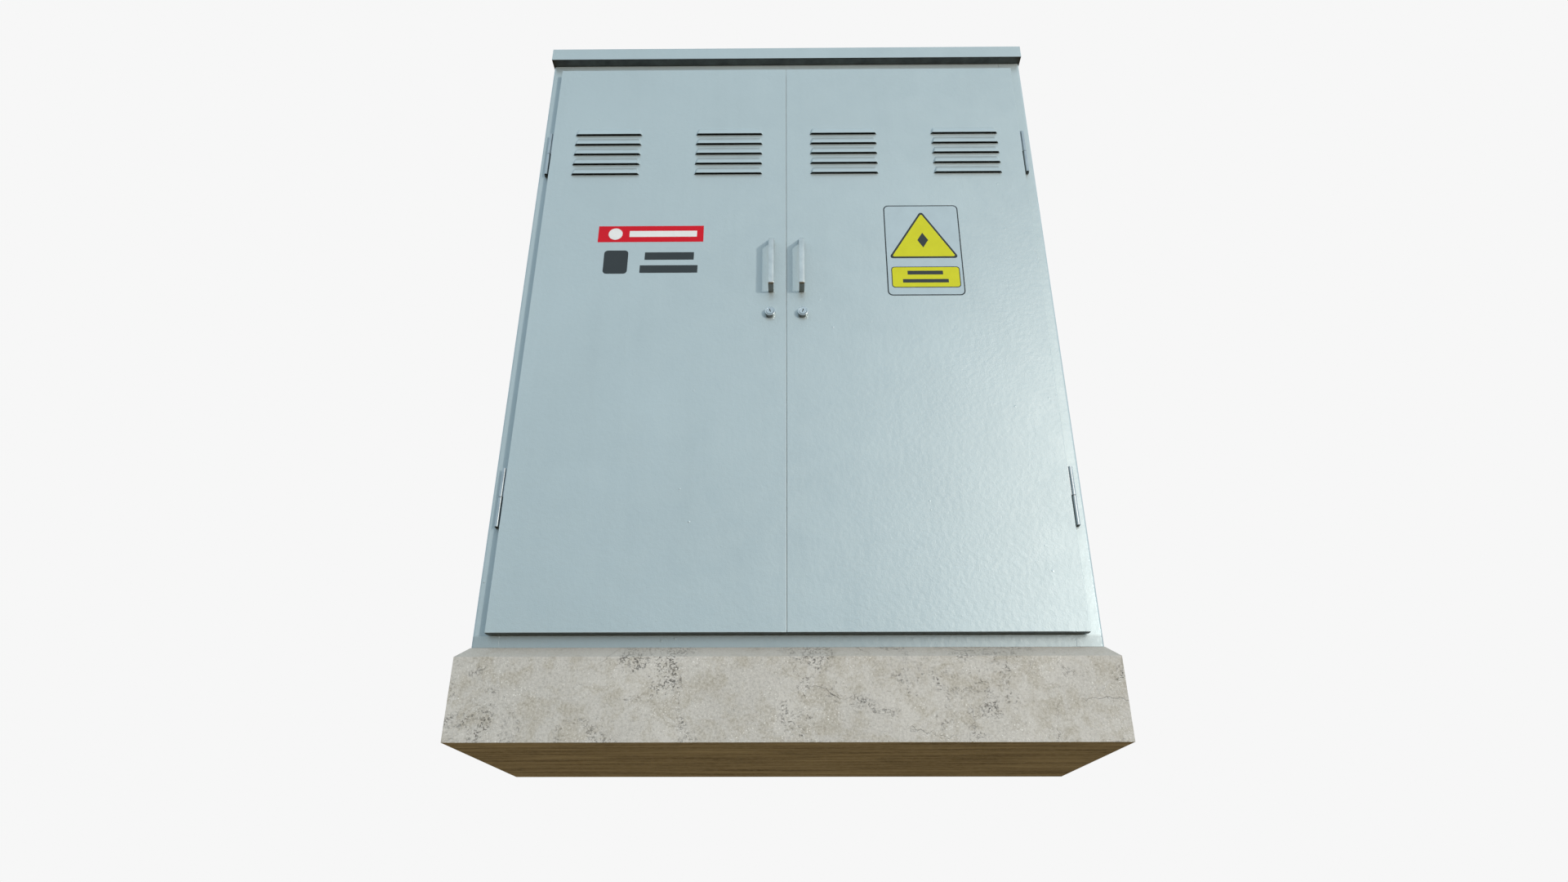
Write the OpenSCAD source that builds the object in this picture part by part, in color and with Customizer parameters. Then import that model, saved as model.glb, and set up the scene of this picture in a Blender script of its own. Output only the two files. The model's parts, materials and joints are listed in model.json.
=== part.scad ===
// Pad-mounted transformer: a sheet-steel cabinet with two louvred doors on a
// precast concrete plinth, holding a dry three-phase transformer, its fuses
// and its low-voltage breaker.
// Origin: centre of the plinth's underside. +X right, +Y to the rear, +Z up.
// All lengths are in millimetres.

/* [Cabinet] */
// Width of the cabinet body
body_w = 1260; // [1240:5:1300]
// Depth of the cabinet body
body_d = 500; // [490:5:520]
// Height of the body from the plinth to the roof
body_h = 1590; // [1580:5:1620]
// Thickness of the sheet steel
sheet = 2; // [1.5:0.5:2.5]

/* [Plinth] */
// Height of the plinth
plinth_h = 185; // [180:5:200]
// Width of the chamfer and ledge around the body
ledge = 23; // [20:1:26]
// Inside radius of a cable duct
duct_r = 50; // [40:1:50]

/* [Roof] */
// Height of the roof's front edge
roof_h = 38; // [34:1:50]
// Fall of the roof to the rear
roof_fall = 16; // [8:1:18]
// How far the roof stands out at front and rear
roof_out = 24; // [22:1:30]

/* [Doors] */
// Width over both doors
doors_w = 1200; // [1190:5:1200]
// Height of the doors
door_h = 1527; // [1520:1:1535]
// Height of the doors' lower edge above the plinth
door_lift = 25; // [20:1:28]
// Gap between the two doors
door_gap = 1; // [1:0.5:4]
// Opening angle that the hinges allow
door_swing = 120; // [90:5:130]

/* [Louvres] */
// Length of one louvre
louvre_w = 170; // [150:1:175]
// Distance from one louvre to the next
louvre_pitch = 32.4; // [30:0.1:40]
// How far a louvre stands out
louvre_out = 7; // [6:0.5:10]

/* [Handles and locks] */
// Length of the straight part of a pull handle
handle_len = 127; // [120:1:160]
// How far a pull handle stands out
handle_out = 36; // [30:1:45]
// Height of the lock's axis above the ground
lock_z = 960; // [940:5:980]

/* [Transformer] */
// Distance between the centres of two windings
phase_pitch = 270; // [265:1:275]
// Outer radius of a high-voltage winding
hv_r = 125; // [115:1:126]
// Height of the core
core_h = 600; // [590:5:600]

/* [Hidden] */
DOOR_NODES = ["door", "door_knuckles", "handle", "lock_barrel", "lock_plug",
              "lock_case", "upper_rod", "lower_rod", "rod_guides",
              "door_gasket", "sign"];
$fn = 48;
tiny = 0.01;

// Body and plinth
half_w = body_w / 2;
half_d = body_d / 2;
front_y = -half_d;
body_z = plinth_h;
roof_z = body_z + body_h;
trough_half_w = 560;
trough_half_d = 160;
trough_floor = 50;
duct_wall = 5;
duct_x = 300;
duct_z = 112;
duct_inner_end = trough_half_d - 12;
plinth_half_d = half_d + ledge;

// Front frame
frame_d = 42;
post_w = 55;
corner_r = 6;
top_rail_h = 63;
bottom_rail_h = 50;
opening_x = half_w - post_w;
centre_half = 14;
centre_d = 20;

// Door leaves: the left one is drawn and the right one is its mirror
door_x0 = -doors_w / 2;
door_x1 = -door_gap / 2;
door_z0 = body_z + door_lift;
door_z1 = door_z0 + door_h;
seal_gap = 4;
door_back = front_y - seal_gap;
door_depth = 17;
door_front = door_back - door_depth;
door_lip = 12;
gasket_w = 10;

// Louvres
louvre_h = 21.5;
louvre_taper = 7;
louvre_count = 5;
louvre_top = 1527.5;
louvre_low_top = 460;
louvre_centres = [-456, -146];
skin = 1.5;

// Hinges
hinge_x = door_x0 - 9;
hinge_y = front_y - 9;
hinge_r = 4.5;
pin_r = 2.5;
pin_fit = 0.05;
hinge_len = 134;
hinge_zs = [438, 1389];
hinge_split = 1;
leaf_t = 2.5;

// Handles
handle_x = -36;
handle_w = 12.5;
handle_t = 3;
handle_z = 1019;
handle_bend = 6;
handle_slope = 33.7;

// Lock, its pinion and the two locking rods
lock_x = -38;
lock_r = 12;
lock_proud = 10.4;
plug_r = 8.5;
plug_proud = 1;
spindle_r = 5;
tooth_m = 1.25;
teeth = 16;
pitch_r = tooth_m * teeth / 2;
tooth_pitch = PI * tooth_m;
pressure = 20;
base_r = pitch_r * cos(pressure);
tip_r = pitch_r + tooth_m;
root_r = pitch_r - 1.25 * tooth_m;
gear_play = 0.45;
rack_play = 0.08;
rack_addendum = 0.9 * tooth_m;
rod_w = 8;
rod_t = 6;
rod_y = -238;
rod_top = roof_z - top_rail_h - 6;
rod_bottom = body_z + bottom_rail_h + 6;
keeper_play = 1;
guide_play = 0.4;
guide_w = 22;
guide_h = 16;
guide_zs_up = [1120, 1400, 1660];
guide_zs_down = [800, 540, 290];
case_half_h = 42;
case_t = 2.5;
case_back = -229;

// Transformer
core_y = 10;
core_d = 90;
core_z = 300;
yoke_h = 90;
clamp_d = 60;
clamp_h = 60;
clamp_t = 6;
rail_x = 250;
rail_w = 50;
rail_h = 40;
rail_wall = 4;
angle_w = 50;
angle_t = 4;
pad_h = core_z - clamp_t - (body_z + angle_t + rail_h);
lv_r = 88;
lv_bore_r = 68;
hv_bore_r = 97;
coil_h = 360;
coil_z = core_z + core_h / 2 - coil_h / 2;
lv_h = coil_h + 24;
phases = [-phase_pitch, 0, phase_pitch];
terminal_out = 22;
terminal_y = core_y - hv_r - terminal_out;
terminal_top = coil_z + coil_h - 40;
terminal_low = coil_z + 40;

// Switchgear above the transformer
plate_y = 200;
plate_half_w = 570;
plate_z0 = 1040;
plate_z1 = 1680;
fuse_xs = [-480, -350, -220];
fuse_y = 58;
fuse_r = 28;
fuse_z0 = 1110;
fuse_len = 340;
insulator_len = 100;
link_r = 5;
link_levels = [930, 960, 990];
breaker_x = 330;
breaker_w = 150;
breaker_h = 260;
breaker_d = 110;
breaker_z = 1140;
toggle_tilt = 25;
toggle_y = plate_y - breaker_d + 18;
toggle_pin_r = 3;
bar_t = 5;
bar_w = 30;
bar_y = core_y + hv_r + 6;
bar_levels = [1010, 970, 930];
bar_xs = [breaker_x - 45, breaker_x, breaker_x + 45];

// Bolts
bolt_r = 8;
rear_bolt_r = 3;
roof_bolt_r = 6;
bolt_fit = 0.3;

// ---------------------------------------------------------------- helpers

// A block from its lowest corner to its highest corner.
module block(lo, hi) {
    translate(lo) cube(hi - lo);
}

// Extrudes an outline of [y, z] points from x0 to x1.
module along_x(x0, x1) {
    translate([x0, 0, 0]) rotate([90, 0, 90]) linear_extrude(x1 - x0) children();
}

// Extrudes an outline of [x, z] points from y0 to y1.
module along_y(y0, y1) {
    translate([0, y1, 0]) rotate([90, 0, 0]) linear_extrude(y1 - y0) children();
}

// A cylinder along Y from y0 to y1, centred on x, z.
module disc_y(x, z, y0, y1, r) {
    translate([x, y1, z]) rotate([90, 0, 0]) cylinder(h = y1 - y0, r = r);
}

// A round bar between two points.
module bar_between(a, b, r) {
    d = b - a;
    len = norm(d);
    translate(a)
        rotate([0, acos(d.z / len), atan2(d.y, d.x)])
            cylinder(h = len, r = r);
}

// A hexagon head, standing on z = 0.
module hex_head(r, h) {
    cylinder(h = h, r = r, $fn = 6);
}

// Draws its children as they are on the left door, or mirrored on the right.
module on_side(side) {
    if (side == "left") children();
    else mirror([1, 0, 0]) children();
}

// Points of an arc, from angle a0 to a1 about centre c.
function arc(c, r, a0, a1, steps = 6) =
    [for (i = [0:steps])
        let (a = a0 + (a1 - a0) * i / steps)
        [c.x + r * cos(a), c.y + r * sin(a)]];

// ---------------------------------------------------------------- louvres

// A pressed louvre facing -Y: its top is at z = 0 and the sheet at y = 0.
module louvre_hood() {
    o = louvre_out;
    h = louvre_h;
    intersection() {
        along_x(-louvre_w / 2, louvre_w / 2)
            polygon([[tiny, 0], [-0.35 * o, -0.16 * h], [-0.72 * o, -0.44 * h],
                     [-0.95 * o, -0.76 * h], [-o, -h], [tiny, -h]]);
        along_y(-o - 1, 1)
            polygon([[-louvre_w / 2 + louvre_taper, 0],
                     [louvre_w / 2 - louvre_taper, 0],
                     [louvre_w / 2, -h], [-louvre_w / 2, -h]]);
    }
}

// The hollow of a louvre, which passes through the sheet behind it.
module louvre_hollow() {
    o = louvre_out - skin;
    h = louvre_h;
    half = louvre_w / 2 - skin;
    intersection() {
        along_x(-louvre_w / 2, louvre_w / 2)
            polygon([[sheet + 1, -0.12 * h], [0, -0.12 * h],
                     [-0.35 * o, -0.24 * h], [-0.72 * o, -0.48 * h],
                     [-0.95 * o, -0.78 * h], [-o, -h - 1],
                     [-tiny, -h - 1], [-tiny, -h], [sheet + 1, -h]]);
        along_y(-o - 1, sheet + 2)
            polygon([[-half + louvre_taper, 0], [half - louvre_taper, 0],
                     [half, -h - 2], [-half, -h - 2]]);
    }
}

// A sheet with banks of louvres: the children are the flat sheet, and the
// banks are centred at xs with their tops at z = top, on the plane y = 0.
module louvred(xs, top) {
    places = [for (x = xs, i = [0:louvre_count - 1])
        [x, 0, top - i * louvre_pitch]];
    difference() {
        union() {
            children();
            for (p = places) translate(p) louvre_hood();
        }
        for (p = places) translate(p) louvre_hollow();
    }
}

// ----------------------------------------------------------------- plinth

// Block with a chamfer round its top edge.
module chamfered_block(hw, hd, h, c) {
    intersection() {
        along_x(-hw, hw)
            polygon([[-hd, 0], [hd, 0], [hd, h - c], [hd - c, h],
                     [-hd + c, h], [-hd, h - c]]);
        along_y(-hd, hd)
            polygon([[-hw, 0], [hw, 0], [hw, h - c], [hw - c, h],
                     [-hw + c, h], [-hw, h - c]]);
    }
}

anchor_places = [for (x = [-1, 1], y = [-1, 1])
    [x * (half_w - 24), y * (half_d - 28), body_z]];

module plinth() {
    color("darkgray")
    difference() {
        chamfered_block(half_w + ledge, plinth_half_d, plinth_h, ledge);
        block([-trough_half_w, -trough_half_d, trough_floor],
              [trough_half_w, trough_half_d, plinth_h + 1]);
        for (x = [-duct_x, duct_x])
            disc_y(x, duct_z, trough_half_d - 1, plinth_half_d + 1,
                   duct_r + duct_wall);
        for (p = anchor_places)
            translate([p.x, p.y, body_z - 91])
                cylinder(h = 92, r = bolt_r + 0.2);
    }
}

module cable_ducts() {
    color("orangered")
    for (x = [-duct_x, duct_x])
        difference() {
            union() {
                disc_y(x, duct_z, duct_inner_end, plinth_half_d,
                       duct_r + duct_wall);
                disc_y(x, duct_z, duct_inner_end, trough_half_d,
                       duct_r + duct_wall + 4);
            }
            disc_y(x, duct_z, duct_inner_end - 1, plinth_half_d + 1, duct_r);
        }
}

// Threaded stud, washer and nut at each corner of the base frame.
module anchor_bolts() {
    color("silver")
    for (p = anchor_places) translate(p) {
        translate([0, 0, -90]) cylinder(h = 90 + angle_t + 22, r = bolt_r);
        translate([0, 0, angle_t]) cylinder(h = 3, r = 15);
        translate([0, 0, angle_t + 3]) hex_head(13, 12);
    }
}

// ------------------------------------------------------------ body frame

// One angle section along Y: its flat leg lies on the plinth.
module side_angle() {
    x0 = -half_w + sheet;
    y1 = half_d - sheet - angle_w - 1;
    block([x0, -y1, body_z], [x0 + angle_w, y1, body_z + angle_t]);
    block([x0, -y1, body_z], [x0 + angle_t, y1, body_z + angle_w]);
}

// One angle section along X at the rear.
module rear_angle() {
    y1 = half_d - sheet;
    x1 = half_w - sheet;
    difference() {
        union() {
            block([-x1, y1 - angle_w, body_z], [x1, y1, body_z + angle_t]);
            block([-x1, y1 - angle_t, body_z], [x1, y1, body_z + angle_w]);
        }
        anchor_holes();
    }
}

// The flat bar at the front: the bottom rail stands in front of it.
module front_angle() {
    y0 = front_y + sheet + tiny;
    x1 = half_w - corner_r - sheet;
    difference() {
        block([-x1, y0, body_z], [x1, y0 + angle_w, body_z + angle_t]);
        anchor_holes();
    }
}

module anchor_holes() {
    for (p = anchor_places)
        translate([p.x, p.y, body_z - 1])
            cylinder(h = angle_t + 2, r = bolt_r + 1);
}

module base_frame() {
    color("slategray") {
        for (side = ["left", "right"]) on_side(side) side_angle();
        rear_angle();
        front_angle();
    }
}

// Folded corner post, drawn on the left.
module front_post() {
    x0 = -half_w;
    x1 = x0 + post_w;
    y0 = front_y;
    r = corner_r;
    q = corner_r - sheet;
    outline = concat(
        [[x1, y0], [x1, y0 + frame_d - 7], [x1 - sheet, y0 + frame_d - 7],
         [x1 - sheet, y0 + sheet]],
        arc([x0 + r, y0 + r], q, 270, 180),
        [[x0 + sheet, y0 + frame_d], [x0, y0 + frame_d]],
        arc([x0 + r, y0 + r], r, 180, 270));
    translate([0, 0, body_z + angle_t])
        linear_extrude(body_h - angle_t) polygon(outline);
    foot = angle_t + tiny;
    translate([0, 0, body_z]) linear_extrude(foot)
        polygon(concat(
            [[x1, y0], [x1, y0 + sheet]],
            arc([x0 + r, y0 + r], q, 270, 180),
            [[x0 + sheet, y0 + r + 2], [x0, y0 + r + 2]],
            arc([x0 + r, y0 + r], r, 180, 270)));
}

// Channel of the front frame along X, from z0 to z1, open to the inside.
module front_rail(z0, z1, lower_flange, upper_flange) {
    y0 = front_y;
    x1 = opening_x - tiny;
    block([-x1, y0, z0], [x1, y0 + sheet, z1]);
    if (lower_flange)
        block([-x1, y0, z0], [x1, y0 + frame_d - 7, z0 + sheet]);
    if (upper_flange)
        block([-x1, y0, z1 - sheet], [x1, y0 + frame_d - 7, z1]);
}

// Holes for the locking rods through a frame flange at height z.
module keeper_holes(x, z) {
    for (s = [-1, 1])
        translate([s * x, rod_y + rod_t / 2, z - 3 * sheet])
            linear_extrude(6 * sheet)
                square([rod_w + 2 * keeper_play, rod_t + 2 * keeper_play],
                       center = true);
}

upper_rod_x = lock_x - pitch_r - 1.25 * tooth_m - rod_w / 2;
lower_rod_x = lock_x + pitch_r + 1.25 * tooth_m + rod_w / 2;

module top_front_rail() {
    color("lightsteelblue")
    difference() {
        front_rail(roof_z - top_rail_h, roof_z, true, true);
        keeper_holes(upper_rod_x, roof_z - top_rail_h);
    }
}

module bottom_front_rail() {
    color("lightsteelblue")
    difference() {
        front_rail(body_z, body_z + bottom_rail_h, false, true);
        keeper_holes(lower_rod_x, body_z + bottom_rail_h);
    }
}

// Removable channel behind the meeting edges of the doors.
module centre_post() {
    z0 = body_z + bottom_rail_h + tiny;
    z1 = roof_z - top_rail_h - tiny;
    c = centre_half;
    color("lightsteelblue")
    translate([0, 0, z0]) linear_extrude(z1 - z0)
        polygon([[-c, front_y], [c, front_y], [c, front_y + centre_d],
                 [c - sheet, front_y + centre_d], [c - sheet, front_y + sheet],
                 [-c + sheet, front_y + sheet],
                 [-c + sheet, front_y + centre_d], [-c, front_y + centre_d]]);
}

// Side panel, drawn on the left: a sheet with a flange at the rear.
module side_panel() {
    y0 = front_y + frame_d + tiny;
    y1 = half_d - sheet;
    span = (y1 - y0) / 2;
    mid = (y0 + y1) / 2;
    multmatrix([[0, 1, 0, -half_w], [-1, 0, 0, mid], [0, 0, 1, 0]])
        louvred([-span / 2 + 8, span / 2 - 8], louvre_low_top)
            block([-span, 0, body_z], [span, sheet, roof_z]);
    difference() {
        block([-half_w, y1 - sheet, body_z + angle_w + 1],
              [-half_w + 22, y1, roof_z]);
        rear_bolt_holes();
    }
}

module rear_panel() {
    x1 = half_w - sheet / 2;
    color("lightsteelblue")
    difference() {
        rotate([0, 0, 180]) translate([0, -half_d, 0])
            louvred(concat(louvre_centres, -louvre_centres), louvre_top)
                block([-x1, 0, body_z], [x1, sheet, roof_z]);
        rear_bolt_holes();
    }
}

module rear_bolt_holes() {
    for (p = rear_bolt_places)
        disc_y(p.x, p.z, half_d - 3 * sheet, half_d + 1,
               rear_bolt_r + bolt_fit);
}

rear_bolt_places = [for (x = [-1, 1], z = [300, 660, 1020, 1380, 1690])
    [x * (half_w - 12), half_d, z]];
roof_bolt_places = [for (x = [-1, 1], y = [-1, 1]) [x * 560, y * 180]];

function roof_top(y) =
    roof_z + roof_h
    - roof_fall * (y + half_d + roof_out) / (body_d + 2 * roof_out);

// The bolts of the rear panel and of the roof.
module cabinet_bolts() {
    color("silver") {
        for (p = rear_bolt_places) translate(p) rotate([-90, 0, 0]) {
            translate([0, 0, -12]) cylinder(h = 13, r = rear_bolt_r);
            cylinder(h = 1.6, r = 9);
            translate([0, 0, 1.6]) hex_head(7.5, 5.5);
        }
        for (p = roof_bolt_places)
            translate([p.x, p.y, roof_top(p.y) + 0.5]) {
                translate([0, 0, -14]) cylinder(h = 15, r = roof_bolt_r);
                cylinder(h = 3, r = 14);
                translate([0, 0, 3]) hex_head(10, 7);
            }
    }
}

// Folded roof: its lower lips stand on the frame and the panels.
module roof_cover() {
    y1 = half_d + roof_out;
    x1 = half_w + sheet;
    t = sheet;
    zf = roof_z + roof_h;
    zr = zf - roof_fall;
    color("lightsteelblue")
    difference() {
        along_x(-x1, x1)
            polygon([[-y1, roof_z], [y1, roof_z], [y1, zr], [-y1, zf]]);
        along_x(-x1 + t, x1 - t)
            polygon([[-y1 + t, roof_z + t], [y1 - t, roof_z + t],
                     [y1 - t, zr - t], [-y1 + t, zf - t]]);
        block([-half_w + 24, front_y + 40, roof_z - 1],
              [half_w - 24, half_d - 24, roof_z + t + 1]);
        for (p = roof_bolt_places)
            translate([p.x, p.y, roof_z + 6])
                cylinder(h = roof_h, r = roof_bolt_r + bolt_fit);
    }
}

// ----------------------------------------------------------------- hinges

module knuckle(z0, z1, bore) {
    translate([hinge_x, hinge_y, z0]) difference() {
        cylinder(h = z1 - z0, r = hinge_r);
        translate([0, 0, -1]) cylinder(h = z1 - z0 + 2, r = bore);
    }
}

// Lower half of each hinge, welded to the frame.
module hinge_frame_knuckles() {
    mid = hinge_len / 2;
    x0 = hinge_x - hinge_r;
    color("lightsteelblue")
    for (side = ["left", "right"], z = hinge_zs) on_side(side) {
        z1 = z + mid - hinge_split / 2;
        difference() {
            union() {
                knuckle(z, z1, pin_r);
                block([x0, hinge_y, z], [x0 + leaf_t, front_y, z1]);
                block([x0, front_y - leaf_t, z], [door_x0 + 5, front_y, z1]);
            }
            translate([hinge_x, hinge_y, z - 1])
                cylinder(h = mid + 2, r = pin_r);
        }
    }
}

// Pins: pressed into the lower halves, free in the upper ones.
module hinge_pins() {
    color("silver")
    for (side = ["left", "right"], z = hinge_zs) on_side(side)
        translate([hinge_x, hinge_y, z + 4])
            cylinder(h = hinge_len - 8, r = pin_r);
}

// Upper half of each hinge, welded to the edge of the door.
module door_knuckles() {
    mid = hinge_len / 2;
    color("lightsteelblue")
    for (z = hinge_zs) {
        z0 = z + mid + hinge_split / 2;
        z1 = z + hinge_len;
        difference() {
            union() {
                knuckle(z0, z1, pin_r + pin_fit);
                block([hinge_x, hinge_y - leaf_t / 2, z0],
                      [door_x0, hinge_y + leaf_t / 2, z1]);
                block([door_x0 - leaf_t, hinge_y - 7, z0],
                      [door_x0, hinge_y + 4, z1]);
            }
            translate([hinge_x, hinge_y, z0 - 1])
                cylinder(h = mid + 2, r = pin_r + pin_fit);
        }
    }
}

// ------------------------------------------------------------------ doors

// Tray of sheet steel with louvres; drawn as the left leaf.
module door() {
    x0 = door_x0;
    x1 = door_x1;
    z0 = door_z0;
    z1 = door_z1;
    t = sheet;
    lip = door_lip;
    color("lightsteelblue")
    difference() {
        translate([0, door_front, 0])
            louvred(louvre_centres, louvre_top)
                difference() {
                    block([x0, 0, z0], [x1, door_depth, z1]);
                    block([x0 + t, t, z0 + t],
                          [x1 - t, door_depth - t, z1 - t]);
                    block([x0 + lip, t, z0 + lip],
                          [x1 - lip, door_depth + 1, z1 - lip]);
                }
        disc_y(lock_x, lock_z, door_front - 1, door_front + t + 1, 9);
    }
}

// Rubber strips on the lips of the door, butted at the corners.
module door_gasket() {
    x0 = door_x0 + 1;
    x1 = door_x1 - 2;
    z0 = door_z0 + 1;
    z1 = door_z1 - 1;
    w = gasket_w;
    y0 = door_back;
    y1 = front_y;
    gap = 0.4;
    // The strip on the hinge side stands inside the hinge leaves.
    color("dimgray") {
        block([x0 + 6, y0, z0 + w + gap], [x0 + w, y1, z1 - w - gap]);
        block([x1 - w, y0, z0 + w + gap], [x1, y1, z1 - w - gap]);
        block([x0 + 6, y0, z0], [x1, y1, z0 + w]);
        block([x0 + 6, y0, z1 - w], [x1, y1, z1]);
    }
}

// Bent flat strip, welded to the door: its lower leg is square to the door and
// its upper leg slopes up to it.
module handle() {
    yf = door_front - handle_out;
    z0 = handle_z;
    z1 = handle_z + handle_len;
    t = handle_t;
    r = handle_bend;
    turn = 90 + handle_slope;
    // Height at which a face of the sloping leg, r from the bend, meets the door.
    function meets(r) =
        let (p = [yf + handle_bend, z1] + r * [cos(turn), sin(turn)])
        p.y + (door_front - p.x) * tan(handle_slope);
    color("silver")
    along_x(handle_x - handle_w / 2, handle_x + handle_w / 2)
        polygon(concat(
            [[door_front, z0]],
            arc([yf + r, z0 + r], r, 270, 180),
            arc([yf + r, z1], r, 180, turn),
            [[door_front, meets(r)], [door_front, meets(r - t)]],
            arc([yf + r, z1], r - t, turn, 180),
            arc([yf + r, z0 + r], r - t, 180, 270),
            [[door_front, z0 + t]]));
}

// Round body of the lock, with its nut inside the door.
module lock_barrel() {
    y0 = door_front - lock_proud;
    color("silver")
    difference() {
        union() {
            disc_y(lock_x, lock_z, y0, door_front, lock_r);
            disc_y(lock_x, lock_z, door_front - tiny, door_back + 1, 8.9);
            disc_y(lock_x, lock_z, door_front + sheet, door_front + sheet + 4,
                   13);
        }
        disc_y(lock_x, lock_z, y0 - 1, y0 + 6, plug_r + 0.1);
        disc_y(lock_x, lock_z, y0 + 5, front_y, spindle_r + 0.06);
    }
}

function involute_angle(r) =
    let (a = acos(base_r / r)) tan(a) * 180 / PI - a;
half_tooth = 90 / teeth - gear_play;
function flank_angle(r) =
    half_tooth + tan(pressure) * 180 / PI - pressure - involute_angle(r);
flank_radii = [for (i = [0:4]) base_r + tiny + (tip_r - base_r - tiny) * i / 4];

function polar(r, a) = [r * cos(a), r * sin(a)];

// Outline of the pinion, one tooth after another.
pinion_points = [for (k = [0:teeth - 1])
    let (c = k * 360 / teeth, foot = flank_angle(base_r + tiny))
    each concat(
        [polar(root_r, c - foot)],
        [for (i = [0:4]) polar(flank_radii[i], c - flank_angle(flank_radii[i]))],
        [for (i = [4:-1:0]) polar(flank_radii[i], c + flank_angle(flank_radii[i]))],
        [polar(root_r, c + foot)])];

// Key plug with its spindle and pinion, which turn as one.
module lock_plug() {
    y0 = door_front - lock_proud - plug_proud;
    y1 = case_back + case_t + 3;
    color("silver")
    difference() {
        union() {
            disc_y(lock_x, lock_z, y0, y0 + 6.5, plug_r);
            disc_y(lock_x, lock_z, y0 + 6, y1, spindle_r);
            translate([lock_x, 0, lock_z])
                along_y(rod_y, rod_y + rod_t) polygon(pinion_points);
        }
        block([lock_x - 1.6, y0 - 1, lock_z - 0.6],
              [lock_x + 0.5, y0 + 4, lock_z + 5]);
        block([lock_x - 0.5, y0 - 1, lock_z - 5],
              [lock_x + 1.6, y0 + 4, lock_z + 0.6]);
    }
}

// Two plates on spacers: the pinion turns between them.
module lock_case() {
    x0 = lock_x - 27;
    x1 = lock_x + 20;
    z0 = lock_z - case_half_h;
    z1 = lock_z + case_half_h;
    y0 = door_front + sheet;
    color("gainsboro")
    difference() {
        union() {
            block([x0, door_back + 1.2, z0],
                  [x1, door_back + 1.2 + case_t, z1]);
            block([x0, case_back, z0], [x1, case_back + case_t, z1]);
            for (z = [lock_z - 30, lock_z + 30]) {
                disc_y(lock_x, z, y0, case_back + 1, 4);
                disc_y(x0 + 4, z, door_back + 2, case_back + 1, 3);
            }
        }
        disc_y(lock_x, lock_z, door_back, case_back + 10, spindle_r + 0.06);
    }
}

// Teeth of a rack that faces +X, with its gap centres at multiples of the
// tooth pitch from z = 0 and its back at x = -back.
function rack_points(k0, k1, back) =
    let (root = -pitch_r - 1.25 * tooth_m,
         tip = -pitch_r + rack_addendum,
         w = tooth_pitch / 4 - rack_play,
         wr = w + 1.25 * tooth_m * tan(pressure),
         wt = w - rack_addendum * tan(pressure))
    concat(
        [[-back, (k0 - 0.5) * tooth_pitch], [root, (k0 - 0.5) * tooth_pitch]],
        [for (k = [k0:k1])
            let (c = (k + 0.5) * tooth_pitch)
            each [[root, c - wr], [tip, c - wt], [tip, c + wt],
                  [root, c + wr]]],
        [[root, (k1 + 1.5) * tooth_pitch], [-back, (k1 + 1.5) * tooth_pitch]]);

rack_back = pitch_r + 1.25 * tooth_m + rod_w;

// Upper rod: its rack is on the hinge side of the pinion and it moves up.
module upper_rod() {
    x = upper_rod_x;
    color("silver") {
        translate([lock_x, 0, lock_z])
            along_y(rod_y, rod_y + rod_t)
                polygon(rack_points(-8, 4, rack_back));
        block([x - rod_w / 2, rod_y, lock_z + 5 * tooth_pitch],
              [x + rod_w / 2, rod_y + rod_t, rod_top]);
    }
}

// Lower rod: the same rack turned half a turn, so it moves down.
module lower_rod() {
    x = lower_rod_x;
    color("silver") {
        translate([lock_x, 0, lock_z])
            along_y(rod_y, rod_y + rod_t)
                rotate(180) polygon(rack_points(-8, 4, rack_back));
        block([x - rod_w / 2, rod_y, rod_bottom],
              [x + rod_w / 2, rod_y + rod_t, lock_z - 5 * tooth_pitch]);
    }
}

module rod_guide(x, z) {
    y0 = door_front + sheet;
    y1 = rod_y + rod_t + 4;
    difference() {
        along_y(y0, y1)
            translate([x - guide_w / 2, z - guide_h / 2])
                square([guide_w, guide_h]);
        block([x - rod_w / 2 - guide_play, rod_y - guide_play, z - guide_h],
              [x + rod_w / 2 + guide_play, rod_y + rod_t + guide_play,
               z + guide_h]);
    }
}

module rod_guides() {
    color("dimgray") {
        for (z = guide_zs_up) rod_guide(upper_rod_x, z);
        // Near the meeting edge the guides keep clear of the centre post.
        for (z = guide_zs_down)
            intersection() {
                rod_guide(lower_rod_x, z);
                block([lock_x - 20, -300, 0], [lower_rod_x + 5.4, 0, 2000]);
            }
    }
}

// ------------------------------------------------------------------ signs

sign_t = 0.6;

// A thin plate with round corners on a door's front.
module film(low, high, r) {
    along_y(door_front - sign_t, door_front)
        polygon(concat(
            arc([high.x - r, high.y - r], r, 90, 0),
            arc([high.x - r, low.y + r], r, 0, -90),
            arc([low.x + r, low.y + r], r, 270, 180),
            arc([low.x + r, high.y - r], r, 180, 90)));
}

// Plain marks: a red band over a dark square and two dark bars.
module left_sign() {
    color("firebrick")
    film([-457, 1167], [-201, 1215], 1.5);
    color("black") {
        film([-438, 1074], [-380, 1142], 9);
        film([-340, 1114], [-222, 1136], 1.5);
        film([-350, 1076], [-212, 1098], 1.5);
    }
}

// One plate, whose printed fields have no thickness of their own.
module right_sign() {
    color("gold")
    film([238, 1008], [420.5, 1274], 12);
}

// ------------------------------------------------------ cabinet fittings

// Bore of an M12 thread
earth_r = 5.1;
earth_z = 262;
earth_y = 190;

// Bosses with a tapped hole, welded to the sides.
module earth_bosses() {
    color("silver")
    for (side = ["left", "right"]) on_side(side)
        translate([-half_w, earth_y, earth_z]) rotate([0, -90, 0])
            difference() {
                cylinder(h = 20, r = 14);
                translate([0, 0, 2]) cylinder(h = 19, r = earth_r);
            }
}

plate_edge = half_d - sheet - angle_w - 3;
gland_split = 395;

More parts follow.
